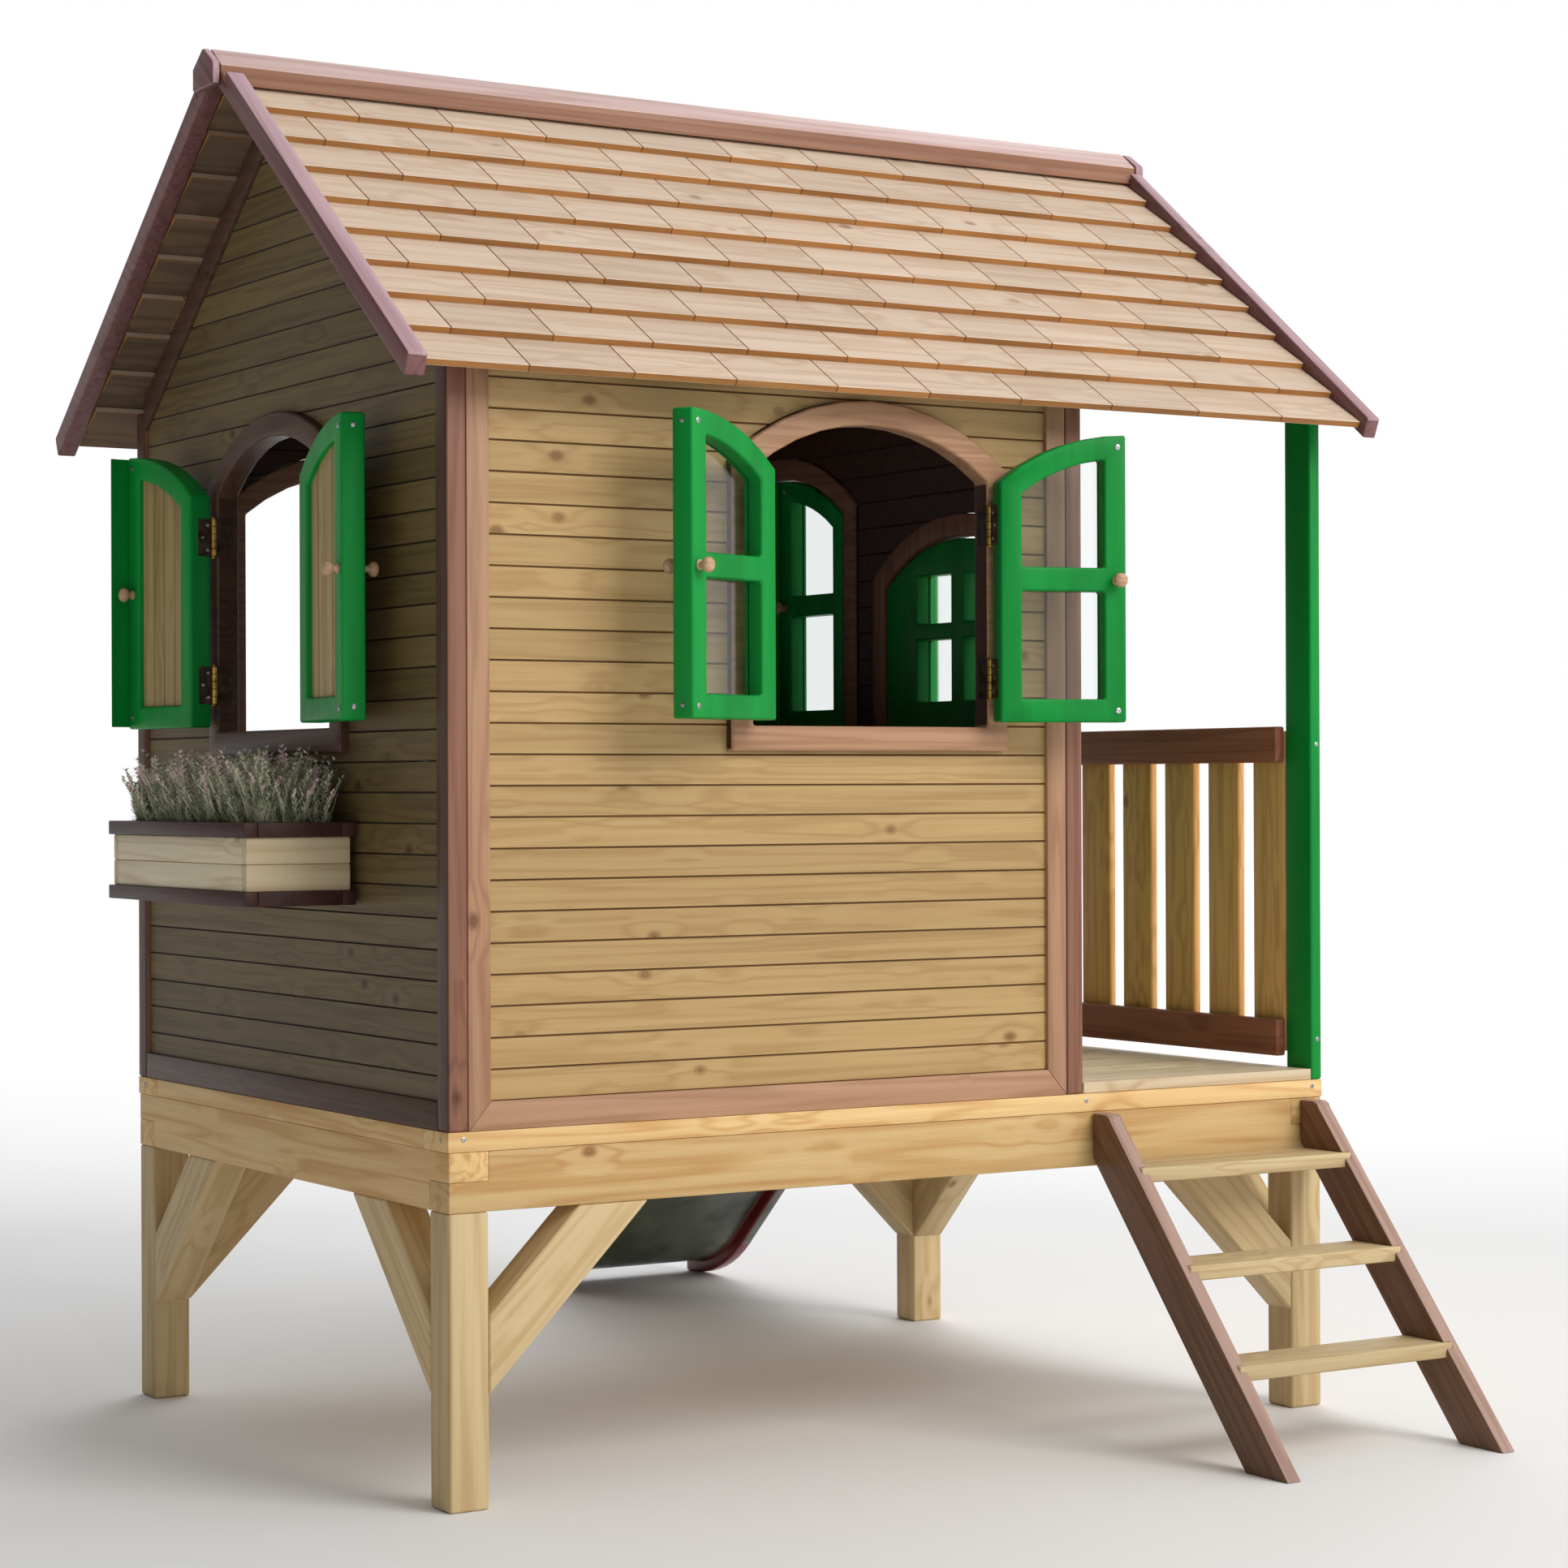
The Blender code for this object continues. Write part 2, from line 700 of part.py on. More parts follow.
# Planter: a box of boards hung on the left wall, open at the top.
PLANTER_X = (PLANTER_OUT, -GAP)
PLANTER_Y = (0.336, 0.940)
PLANTER_Z = (0.350, 0.487)
PLANTER_WALL = 0.018
RIM = 0.024
SET_BACK = 0.007
planter = box("planter", (PLANTER_OUT + SET_BACK, -SET_BACK), (PLANTER_Y[0] + SET_BACK, PLANTER_Y[1]
              - SET_BACK), PLANTER_Z, STAIN, ease=0)
rims = [
    box(f"rim_{i}", PLANTER_X, PLANTER_Y, (z, z + RIM), STAIN, ease=0)
    for i, z in enumerate((PLANTER_Z[0], PLANTER_Z[1] - RIM))
]
hollow = box(
    "planter_hollow",
    (PLANTER_OUT + SET_BACK + PLANTER_WALL, -SET_BACK - PLANTER_WALL),
    (PLANTER_Y[0] + SET_BACK + PLANTER_WALL, PLANTER_Y[1] - SET_BACK - PLANTER_WALL),
    (PLANTER_Z[0] + 0.016, PLANTER_Z[1] + 0.020),
    STAIN,
    ease=0,
)
joined(planter, "UNION", *rims)
joined(planter, "DIFFERENCE", hollow)

# Slide: one moulded chute from the rear of the veranda to the ground.
SLIDE_X = (1.300, 1.740)
SLIDE_ANGLE = math.radians(42)
SLIDE_BED = 0.012
SLIDE_WALL = 0.030
SIDE_UP = 0.070
SIDE_DOWN = 0.040
TOP_BEND = 0.160
FOOT_BEND = 0.300
SLIDE_TOP = DECK_TOP
SLIDE_FOOT = GROUND + SIDE_DOWN


def slide_path():
    """The bed's line from the side: level, then bent down, straight, and bent level again."""
    start = (DEPTH + GAP, SLIDE_TOP)
    level = DEPTH + 0.040
    points = [(*start, 0)]
    for i in range(7):
        a = SLIDE_ANGLE * i / 6
        points.append((level + TOP_BEND * math.sin(a), SLIDE_TOP - TOP_BEND * (1 - math.cos(a)), a))
    fall = SLIDE_TOP - SLIDE_FOOT - (TOP_BEND + FOOT_BEND) * (1 - math.cos(SLIDE_ANGLE))
    y = level + TOP_BEND * math.sin(SLIDE_ANGLE) + fall / math.tan(SLIDE_ANGLE)
    for i in range(9):
        a = SLIDE_ANGLE * (1 - i / 8)
        along = FOOT_BEND * (math.sin(SLIDE_ANGLE) - math.sin(a))
        points.append((y + along, SLIDE_FOOT + FOOT_BEND * (1 - math.cos(a)), a))
    points.append((SLIDE_END, SLIDE_FOOT, 0))
    return points


def slide_section():
    """Across the slide: a wall on each side that stands above the bed and hangs below it."""
    x0, x1 = SLIDE_X
    return [
        (x0, -SIDE_DOWN),
        (x0 + SLIDE_WALL, -SIDE_DOWN),
        (x0 + SLIDE_WALL, -SLIDE_BED),
        (x1 - SLIDE_WALL, -SLIDE_BED),
        (x1 - SLIDE_WALL, -SIDE_DOWN),
        (x1, -SIDE_DOWN),
        (x1, SIDE_UP),
        (x1 - SLIDE_WALL, SIDE_UP),
        (x1 - SLIDE_WALL, 0),
        (x0 + SLIDE_WALL, 0),
        (x0 + SLIDE_WALL, SIDE_UP),
        (x0, SIDE_UP),
    ]


bm = bmesh.new()
rings = []
for y, z, a in slide_path():
    ring = []
    for x, up in slide_section():
        ring.append(bm.verts.new((x, y + up * math.sin(a), z + up * math.cos(a))))
    rings.append(ring)
for near, far in zip(rings, rings[1:]):
    for i, vert in enumerate(near):
        bm.faces.new((near[i - 1], vert, far[i], far[i - 1]))
bm.faces.new(rings[0])
bm.faces.new(rings[-1])
bmesh.ops.recalc_face_normals(bm, faces=bm.faces[:])
slide_mesh = bpy.data.meshes.new("slide")
bm.to_mesh(slide_mesh)
bm.free()
slide_mesh.materials.append(SLIDE)
slide = bpy.data.objects.new("slide", slide_mesh)
bpy.context.scene.collection.objects.link(slide)
slide.parent = PLATFORM
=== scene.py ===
import json
import math
import random

import bpy
from mathutils import Matrix, Vector


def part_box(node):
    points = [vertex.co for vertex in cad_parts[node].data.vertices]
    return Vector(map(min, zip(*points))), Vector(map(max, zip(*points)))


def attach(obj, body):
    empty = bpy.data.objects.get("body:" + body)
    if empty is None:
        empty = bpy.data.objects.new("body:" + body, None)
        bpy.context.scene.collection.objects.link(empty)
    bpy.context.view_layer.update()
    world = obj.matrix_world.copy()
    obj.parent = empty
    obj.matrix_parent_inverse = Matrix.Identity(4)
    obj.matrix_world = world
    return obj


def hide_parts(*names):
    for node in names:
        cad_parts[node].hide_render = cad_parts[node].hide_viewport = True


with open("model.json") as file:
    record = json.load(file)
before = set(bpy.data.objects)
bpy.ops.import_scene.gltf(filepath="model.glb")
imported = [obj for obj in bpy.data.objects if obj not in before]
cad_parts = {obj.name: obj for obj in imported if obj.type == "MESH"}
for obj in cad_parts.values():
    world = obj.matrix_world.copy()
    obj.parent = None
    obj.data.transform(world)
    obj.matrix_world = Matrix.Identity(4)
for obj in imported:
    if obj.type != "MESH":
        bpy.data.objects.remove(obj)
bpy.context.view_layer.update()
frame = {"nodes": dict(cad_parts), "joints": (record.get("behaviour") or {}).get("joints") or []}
chance = random.Random(11)

# Studio. The view is level with the window sills, seen a little from the left of the front wall.
# A broad light stands to the right of the front, a weaker one behind, and the floor is pale.
EDGE_LOW, EDGE_HIGH = (Vector(corner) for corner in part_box("platform_frame"))


def at(x, y, z):
    """A place counted from the platform's top front left corner."""
    return Vector((EDGE_LOW.x + x, EDGE_LOW.y + y, EDGE_HIGH.z + z))


camera = bpy.data.objects.new("camera", bpy.data.cameras.new("camera"))
bpy.context.scene.collection.objects.link(camera)
camera.location = at(-2.4433, -4.9258, 0.5434)
camera.rotation_euler = [math.radians(turn) for turn in (90.0375, 0.2107, -31.9106)]
camera.data.lens = 79.95
camera.data.sensor_width = 36
bpy.context.scene.camera = camera


def softbox(name, place, aim, size, power, tint):
    lamp = bpy.data.lights.new(name, "AREA")
    lamp.size = size
    lamp.energy = power
    lamp.color = tint
    holder = bpy.data.objects.new(name, lamp)
    bpy.context.scene.collection.objects.link(holder)
    holder.location = place
    holder.rotation_euler = (aim - place).to_track_quat("-Z", "Y").to_euler()


FLOOR_LEVEL = -0.6005
middle = at(0.9, 0.65, 0.6)
softbox("key_light", at(3.4, -6.0, 5.0), middle, 4.0, 360, (1.0, 0.97, 0.93))
softbox("back_light", at(4.5, 5.5, 4.0), middle, 3.5, 110, (0.95, 0.97, 1.0))
# The walls of the studio are white, apart from a darker one on the left, which shades that side.
studio = bpy.data.worlds.new("studio")
studio.use_nodes = True
walls = studio.node_tree.nodes
across = walls.new("ShaderNodeSeparateXYZ")
studio.node_tree.links.new(walls.new("ShaderNodeTexCoord").outputs["Generated"], across.inputs[0])
shade_side = walls.new("ShaderNodeMapRange")
SHADE_SPAN = (-0.65, 0.28, 0.12, 1.0)
for socket, value in zip(list(shade_side.inputs)[1:5], SHADE_SPAN):
    socket.default_value = value
studio.node_tree.links.new(across.outputs[0], shade_side.inputs[0])
studio.node_tree.links.new(shade_side.outputs[0], walls["Background"].inputs["Strength"])
walls["Background"].inputs["Color"].default_value = (1, 1, 1, 1)
bpy.context.scene.world = studio
bpy.context.scene.view_settings.view_transform = "Standard"

bpy.ops.object.select_all(action="DESELECT")
bpy.ops.mesh.primitive_plane_add(size=60, location=at(0.9, 0.65, FLOOR_LEVEL))
floor = bpy.context.active_object
floor.name = "studio_floor"
floor_paint = bpy.data.materials.new("studio_floor")
floor_paint.use_nodes = True
floor_shader = floor_paint.node_tree.nodes["Principled BSDF"]
floor_shader.inputs["Base Color"].default_value = (0.80, 0.80, 0.80, 1)
floor_shader.inputs["Roughness"].default_value = 0.9
floor_shader.inputs["Emission Color"].default_value = (1, 1, 1, 1)
# The floor grows lighter away from the object and meets the walls without a line.
nodes = floor_paint.node_tree.nodes
spread = nodes.new("ShaderNodeVectorMath")
spread.operation = "LENGTH"
glow = nodes.new("ShaderNodeMapRange")
GLOW_SPAN = (3.0, 11.0, 0.0, 0.6)
for socket, value in zip(list(glow.inputs)[1:5], GLOW_SPAN):
    socket.default_value = value
join = floor_paint.node_tree.links.new
join(nodes.new("ShaderNodeTexCoord").outputs["Object"], spread.inputs[0])
join(spread.outputs["Value"], glow.inputs[0])
join(glow.outputs[0], floor_shader.inputs["Emission Strength"])
floor.data.materials.append(floor_paint)


# Underframe: sawn pine legs, braces and half-lapped beams, planed and left clear, with knots and
# long growth rings. Each timber's edges are eased with a plane, and the braces are screwed on.
def colour(red, green, blue):
    """A colour as it is seen, turned into the light it gives back."""
    return tuple(((c / 255 + 0.055) / 1.055) ** 2.4 for c in (red, green, blue)) + (1.0,)


class Recipe:
    """A material's node tree, with a short way to add and join its nodes."""

    def __init__(self, name):
        self.material = bpy.data.materials.new(name)
        self.material.use_nodes = True
        self.tree = self.material.node_tree
        self.shader = self.tree.nodes["Principled BSDF"]

    def add(self, kind, settings=None, **inputs):
        node = self.tree.nodes.new("ShaderNode" + kind)
        for key, value in (settings or {}).items():
            setattr(node, key, value)
        for key, value in inputs.items():
            self.feed(node.inputs[int(key[1:]) if key[1:].isdigit() else key], value)
        return node

    def feed(self, socket, value):
        if isinstance(value, bpy.types.NodeSocket):
            self.tree.links.new(value, socket)
        else:
            socket.default_value = value

    def maths(self, operation, first, second=0.0, clamp=False):
        settings = {"operation": operation, "use_clamp": clamp}
        return self.add("Math", settings, i0=first, i1=second).outputs[0]

    def span(self, value, low, high, to_low=0.0, to_high=1.0):
        limits = {"i1": low, "i2": high, "i3": to_low, "i4": to_high}
        return self.add("MapRange", {"clamp": True}, i0=value, **limits).outputs[0]

    def blend(self, amount, first, second, way="MIX"):
        node = self.add("Mix", {"data_type": "RGBA", "blend_type": way, "clamp_factor": True})
        self.feed(node.inputs[0], amount)
        self.feed(node.inputs[6], first)
        self.feed(node.inputs[7], second)
        return node.outputs[2]

    def places(self, turn, stretch):
        """Object coordinates, moved for each board, turned to the grain and stretched along it."""
        spot = self.add("TexCoord").outputs["Object"]
        mark = self.add("Attribute", {"attribute_name": "board"}).outputs["Fac"]
        move = self.add(
            "CombineXYZ",
            i0=self.maths("MULTIPLY", mark, 7.3),
            i1=self.maths("MULTIPLY", mark, 3.9),
            i2=self.maths("MULTIPLY", mark, 5.1),
        ).outputs[0]
        spot = self.add("VectorMath", {"operation": "ADD"}, i0=spot, i1=move).outputs[0]
        turned = self.add("Mapping", {"vector_type": "POINT"}, i0=spot, i2=turn).outputs[0]
        return [self.add("Mapping", i0=turned, i3=scale).outputs[0] for scale in stretch], mark

    def noise(self, place, scale, detail=2.0, rough=0.5, bent=0.0):
        node = self.add("TexNoise", Vector=place, Scale=scale, Detail=detail, Roughness=rough)
        node.inputs["Distortion"].default_value = bent
        return node.outputs["Fac"]


GRAIN = {"x": (0, 0, 0), "y": (0, 0, math.pi / 2), "z": (0, math.pi / 2, 0)}


def timber(
    name, pale, dark, grain="x", rings=9, knots=0.6, rough=0.55, relief=0.3, vary=0.14, close=1.0
):
    """Planed wood: wandering growth rings, fine fibres, knots that the rings flow round."""
    recipe = Recipe(name)
    turn = GRAIN[grain] if isinstance(grain, str) else grain
    across = 11 * close
    stretch = ((0.9, across, across), (7, 420, 420), (6.5, 9.5, 9.5))
    (wide, fine, sparse), board_mark = recipe.places(turn, stretch)
    recipe.shader.inputs["Specular IOR Level"].default_value = 0.28
    cells = recipe.add("TexVoronoi", Vector=sparse, Scale=1.0)
    far = cells.outputs["Distance"]
    chosen = recipe.span(
        recipe.add("SeparateColor", i0=cells.outputs["Color"]).outputs[0], 1 - knots, 1.01 - knots
    )
    near = recipe.maths("MULTIPLY", recipe.span(far, 0.0, 0.45, 1.0, 0.0), chosen)
    growth = recipe.noise(wide, 1.0, 2.0, 0.45, 0.35)
    growth = recipe.maths("ADD", growth, recipe.maths("MULTIPLY", near, 0.22))
    ring = recipe.maths("SINE", recipe.maths("MULTIPLY", growth, rings * math.tau))
    ring = recipe.maths("POWER", recipe.span(ring, -1, 1), 2.2)
    fibre = recipe.noise(fine, 1.0, 3.0, 0.6)
    streak = recipe.noise(wide, 3.1, 4.0, 0.6)
    amount = recipe.maths("MULTIPLY", ring, 0.42)
    for part, low, share in ((fibre, 0.3, 0.22), (streak, 0.35, 0.3)):
        part = recipe.maths("MULTIPLY", recipe.span(part, low, 0.75), share)
        amount = recipe.maths("ADD", amount, part)
    shade = recipe.blend(amount, pale, dark)
    core = recipe.maths("MULTIPLY", recipe.span(far, 0.05, 0.12, 1.0, 0.0), chosen)
    whorl = recipe.maths("SINE", recipe.maths("MULTIPLY", far, 230.0))
    whorl = recipe.span(whorl, -1, 1, 0.62, 0.95)
    knot = tuple(c * share for c, share in zip(dark[:3], (0.55, 0.4, 0.36))) + (1.0,)
    shade = recipe.blend(recipe.maths("MULTIPLY", core, whorl), shade, knot)
    light = recipe.span(board_mark, 0, 1, 1 - vary, 1 + vary)
    shade = recipe.add("HueSaturation", Value=light, Color=shade).outputs[0]
    recipe.feed(recipe.shader.inputs["Base Color"], shade)
    gloss = recipe.span(fibre, 0, 1, rough - 0.08, rough + 0.1)
    recipe.feed(recipe.shader.inputs["Roughness"], gloss)
    height = recipe.maths("ADD", recipe.maths("MULTIPLY", ring, 0.5), fibre)
    bump = recipe.add("Bump", Strength=relief, Distance=0.0008, Height=height).outputs[0]
    recipe.feed(recipe.shader.inputs["Normal"], bump)
    return recipe.material


def pick(piece):
    """Makes a piece the only one selected, and the active one."""
    bpy.ops.object.select_all(action="DESELECT")
    piece.select_set(True)
    bpy.context.view_layer.objects.active = piece


def soften(piece, width, segments=2, sharpest=25):
    """Rounds the edges of a piece that turn by more than a small angle."""
    pick(piece)
    edge = piece.modifiers.new("eased", "BEVEL")
    edge.width = width
    edge.segments = segments
    edge.limit_method = "ANGLE"
    edge.angle_limit = math.radians(sharpest)
    edge.harden_normals = False
    bpy.ops.object.modifier_apply(modifier=edge.name)


def stamp(piece):
    """Gives a board a number of its own, which its grain and tone follow."""
    value = chance.random()
    marks = piece.data.attributes.new("board", "FLOAT", "FACE")
    marks.data.foreach_set("value", [value] * len(piece.data.polygons))


def settle(piece, name, material, body="house", replaced=()):
    """Names a finished piece, paints it, and fixes it to its body."""
    piece.name = name
    piece.data.name = name
    if material:
        piece.data.materials.clear()
        piece.data.materials.append(material)
    pick(piece)
    bpy.ops.object.shade_smooth_by_angle(angle=math.radians(35))
    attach(piece, body)
    if replaced:
        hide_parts(*replaced)
    return piece


def planed(node, width, segments=2):
    """A copy of a solid with its triangles merged and its edges eased."""
    piece = frame["nodes"][node].copy()
    piece.data = piece.data.copy()
    piece.parent = None
    piece.matrix_world = frame["nodes"][node].matrix_world
    bpy.context.scene.collection.objects.link(piece)
    pick(piece)
    bpy.ops.object.mode_set(mode="EDIT")
    bpy.ops.mesh.select_all(action="SELECT")
    bpy.ops.mesh.remove_doubles(threshold=0.00002)
    bpy.ops.mesh.dissolve_limited(angle_limit=math.radians(1))
    bpy.ops.object.mode_set(mode="OBJECT")
    if width:
        soften(piece, width, segments)
    stamp(piece)
    return piece


def dress(node, ending, material, ease, segments=2, body="house"):
    """Puts an eased copy in a node's place, with its finish."""
    return settle(planed(node, ease, segments), f"{node}_{ending}", material, body, [node])


PINE_PALE = colour(226, 194, 138)
PINE_DARK = colour(190, 138, 76)
LEG_PALE = colour(216, 194, 150)
LEG_DARK = colour(184, 152, 102)
QUARTER = math.radians(90)
BRACE_TURN = math.radians(45)
TIMBER_EASE = 0.0015


def clear_pine(name, grain, pale=LEG_PALE, dark=LEG_DARK):
    return timber(name, pale, dark, grain, 5, 0.6, close=1.8)


pine = {way: clear_pine(f"pine_{way}", way, PINE_PALE, PINE_DARK) for way in "xy"}
leg_pine = clear_pine("pine_leg", "z")
slanted = {
    "left": clear_pine("pine_brace_out", (0, BRACE_TURN, 0)),
    "right": clear_pine("pine_brace_in", (0, -BRACE_TURN, 0)),
}
crossed = {
    "front": clear_pine("pine_brace_front", (-BRACE_TURN, 0, QUARTER)),
    "rear": clear_pine("pine_brace_rear", (BRACE_TURN, 0, QUARTER)),
}
for depth in ("front", "rear"):
    for side in ("left", "right"):
        woods = (("leg", leg_pine), ("long_brace", slanted[side]), ("cross_brace", crossed[depth]))
        for part, wood in woods:
            dress(f"{depth}_{side}_{part}", "timber", wood, TIMBER_EASE)
for name, way in (("front", "x"), ("rear", "x"), ("left", "y"), ("right", "y")):
    dress(f"{name}_beam", "timber", pine[way], TIMBER_EASE)


# Platform edge: four narrow planed pine boards laid flat on top of the beams. The short ones are
# butted between the long ones, and all are screwed down near their ends.
def board(low, high, ease=0.002, segments=2):
    """A planed board between two corners, with eased edges and a grain of its own."""
    bpy.ops.object.select_all(action="DESELECT")
    bpy.ops.mesh.primitive_cube_add(size=1, location=[(a + b) / 2 for a, b in zip(low, high)])
    piece = bpy.context.active_object
    piece.scale = [b - a for a, b in zip(low, high)]
    bpy.ops.object.transform_apply(location=True, rotation=False, scale=True)
    if ease:
        soften(piece, ease, segments)
    stamp(piece)
    return piece


def together(pieces):
    """Joins boards that make up one piece of work."""
    bpy.ops.object.select_all(action="DESELECT")
    for piece in pieces:
        piece.select_set(True)
    bpy.context.view_layer.objects.active = pieces[0]
    bpy.ops.object.join()
    return pieces[0]


DEPTH = EDGE_HIGH.y - EDGE_LOW.y
LENGTH = EDGE_HIGH.x - EDGE_LOW.x
EDGE_DEEP = EDGE_HIGH.z - EDGE_LOW.z
EDGE_WIDE = 0.090
SEAM = 0.0004
edges = []
for y in (0, DEPTH - EDGE_WIDE):
    edges.append(board(at(0, y, -EDGE_DEEP), at(LENGTH, y + EDGE_WIDE, 0)))
settle(together(edges), "long_edge_boards", pine["x"], replaced=["platform_frame"])
edges = []
for x in (SEAM, LENGTH - EDGE_WIDE - SEAM):
    start = at(x, EDGE_WIDE + SEAM, -EDGE_DEEP)
    edges.append(board(start, at(x + EDGE_WIDE, DEPTH - EDGE_WIDE - SEAM, 0)))
settle(together(edges), "cross_edge_boards", pine["y"])


# Floor: planed pine boards laid lengthways, tight together, through the room and the veranda.
# They lie on the platform edge and stop short of the room's siding.
FLOOR_BOARD = 0.087
ROOM_LEFT = 0.037
BOARD_EASE = 0.0012
DECK_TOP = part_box("floor")[1][2] - EDGE_HIGH.z
DECK_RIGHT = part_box("floor")[1][0] - EDGE_LOW.x
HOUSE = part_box("front_right_corner_post")[1][0] - EDGE_LOW.x
boards = []
rows = round(DEPTH / FLOOR_BOARD)
wide = (DEPTH - 0.002) / rows
for row in range(rows):
    y = 0.001 + wide * row
    start = ROOM_LEFT if row and row < rows - 1 else HOUSE + 0.001
    end = at(DECK_RIGHT, y + wide - 0.0006, DECK_TOP)
    boards.append(board(at(start, y, 0.0005), end, BOARD_EASE, 1))
floor_pine = timber("floor_pine", colour(235, 216, 184), colour(197, 165, 122), "x", knots=0.5)
settle(together(boards), "floor_boards", floor_pine, replaced=["floor"])


# Walls: narrow tongue-and-groove boards with a V at each joint, nailed behind a picture frame of
# stained boards. The gable walls carry two sloping boards under the roof and a skirting board.
WALLS = {
    "front": Matrix.Translation(at(0, 0, 0)),
    "left": Matrix.Translation(at(0, DEPTH, 0)) @ Matrix.Rotation(-math.pi / 2, 4, "Z"),
    "veranda": Matrix.Translation(at(HOUSE, 0, 0)) @ Matrix.Rotation(math.pi / 2, 4, "Z"),
    "rear": Matrix.Translation(at(HOUSE, DEPTH, 0)) @ Matrix.Rotation(math.pi, 4, "Z"),
}
PITCH = 0.050
SIDING = (0.008, 0.024)
POST = (0.0363, 0.0403)
TRIM_FACE = (0.0, 0.012)
TRIM_WIDE = 0.040
SKIRTING = 0.046
EAVES = 1.250
WINDOW_EDGE = 0.2793
SILL = 0.6017
WINDOW_TOP = 1.1953
OUTER_RADIUS = 0.4143
DOOR_TOP = 1.0453
RISE = 0.785
SLOPE = math.atan(RISE)
OVERHANG = 0.094
SOFFIT = 1.182 + RISE * OVERHANG - 0.009
MIDDLE = DEPTH / 2
MITRE = (0.755, 0.656)
TRIM_FOOT = 0.0003
TRIM_EASE = 0.0018
GABLE_FIRST = 0.036


def slice_off(piece, place, normal):
    """Saws through a piece and drops what lies on the normal's side."""
    pick(piece)
    bpy.ops.object.mode_set(mode="EDIT")
    bpy.ops.mesh.select_all(action="SELECT")
    bpy.ops.mesh.bisect(plane_co=place, plane_no=normal, use_fill=True, clear_outer=True)
    bpy.ops.object.mode_set(mode="OBJECT")


def arch_block(centre, foot, top):
    """A block with the outline of an arched surround, to saw an opening with."""
    bpy.ops.object.select_all(action="DESELECT")
    bpy.ops.mesh.primitive_cylinder_add(
        vertices=160,
        radius=OUTER_RADIUS,
        depth=0.2,
        location=(centre, 0.02, top - OUTER_RADIUS),
        rotation=(math.pi / 2, 0, 0),
    )
    bpy.ops.object.transform_apply(location=True, rotation=True, scale=True)
    block = bpy.context.active_object
    slice_off(block, (centre + WINDOW_EDGE, 0, 0), (1, 0, 0))
    slice_off(block, (centre - WINDOW_EDGE, 0, 0), (-1, 0, 0))
    slice_off(block, (0, 0, max(foot, top - 0.6)), (0, 0, -1))
    return block


def saw_out(boards, block):
    """Saws the block's shape out of each board that it meets, and keeps what is left of them."""
    low, high = (Vector(corner) for corner in (block.bound_box[0], block.bound_box[6]))
    kept = []
    for piece in boards:
        foot, head = (Vector(corner) for corner in (piece.bound_box[0], piece.bound_box[6]))
        if all(low[i] < head[i] and high[i] > foot[i] for i in range(3)):
            pick(piece)
            step = piece.modifiers.new("opening", "BOOLEAN")
            step.operation = "DIFFERENCE"
            step.object = block
            bpy.ops.object.modifier_apply(modifier=step.name)
        if len(piece.data.polygons):
            kept.append(piece)
        else:
            bpy.data.objects.remove(piece, do_unlink=True)
    bpy.data.objects.remove(block, do_unlink=True)
    return kept


def siding(run, first, top, foot=0.0005):
    """Boards from the foot up to the top, with joints every pitch from the first one."""
    boards = []
    z = foot
    joint = first
    while z < top - 0.004:
        high = min(joint, top)
        boards.append(board((run[0], SIDING[0], z), (run[1], SIDING[1], high - 0.0003), 0.0016, 1))
        z = high
        joint += PITCH
    return boards


def darken(piece, material, chosen):
    """Gives the chosen faces of a piece a second material, such as painted shade in its grooves and
    on its cut ends.
    """
    piece.data.materials.append(material)
    for face in piece.data.polygons:
        if chosen(face):
            face.material_index = 1


def under_roof(piece):
    """Saws a gable's board along both roof slopes, and says whether any of it is left."""
    slice_off(piece, (0, 0, SOFFIT), (-math.sin(SLOPE), 0, math.cos(SLOPE)))
    slice_off(piece, (DEPTH, 0, SOFFIT), (math.sin(SLOPE), 0, math.cos(SLOPE)))
    return len(piece.data.polygons) > 0


def frame_board(low, high, mitres=()):
    """A board of a picture frame, with its ends sawn by (place, normal) cuts."""
    piece = board(low, high, 0, 0)
    for place, normal in mitres:
        slice_off(piece, place, normal)
    soften(piece, TRIM_EASE)
    return piece


def fit(pieces, place, name, material, body="house", replaced=()):
    """Joins boards made in a wall's or a leaf's own frame, and sets them in their place."""
    piece = together(pieces)
    piece.data.transform(place)
    return settle(piece, name, material, body, replaced)


WINDOWS = {"front": 0.797, "left": 0.649, "rear": 0.797, "veranda": 0.962}
DOOR = 0.345
# SUNNY is the siding's colour in the light; SHADED is a darker copy of it for the gable walls,
# painted shade.
SUNNY = (colour(186, 156, 106), colour(158, 124, 76))
SHADED = (colour(114, 96, 58), colour(82, 66, 38))
STAIN_PALE = colour(182, 142, 110)
STAIN_DARK = colour(148, 104, 76)
DEEP_PALE = colour(146, 102, 82)
DEEP_DARK = colour(110, 70, 54)
siding_x = timber("siding_x", *SUNNY, "x", 5, 0.95, 0.5, 0.25, 0.07, 2.6)
siding_in_shade_y = timber("siding_in_shade_y", *SHADED, "y", 5, 0.95, 0.5, 0.25, 0.14, 2.6)
# The faces of the V joints are painted darker, as painted shade in the grooves, darkest on the
# gable walls.
groove_shade_x = timber("siding_groove_x", colour(118, 86, 50), colour(92, 64, 38), "x", 7, 0)
groove_shade_y = timber("siding_groove_y", colour(62, 50, 34), colour(44, 34, 24), "y", 7, 0)


def stained(name, pale, dark, way):
    return timber(f"{name}_{way}", pale, dark, way, 6, 0.2, 0.45, 0.25, 0.06, 2.0)


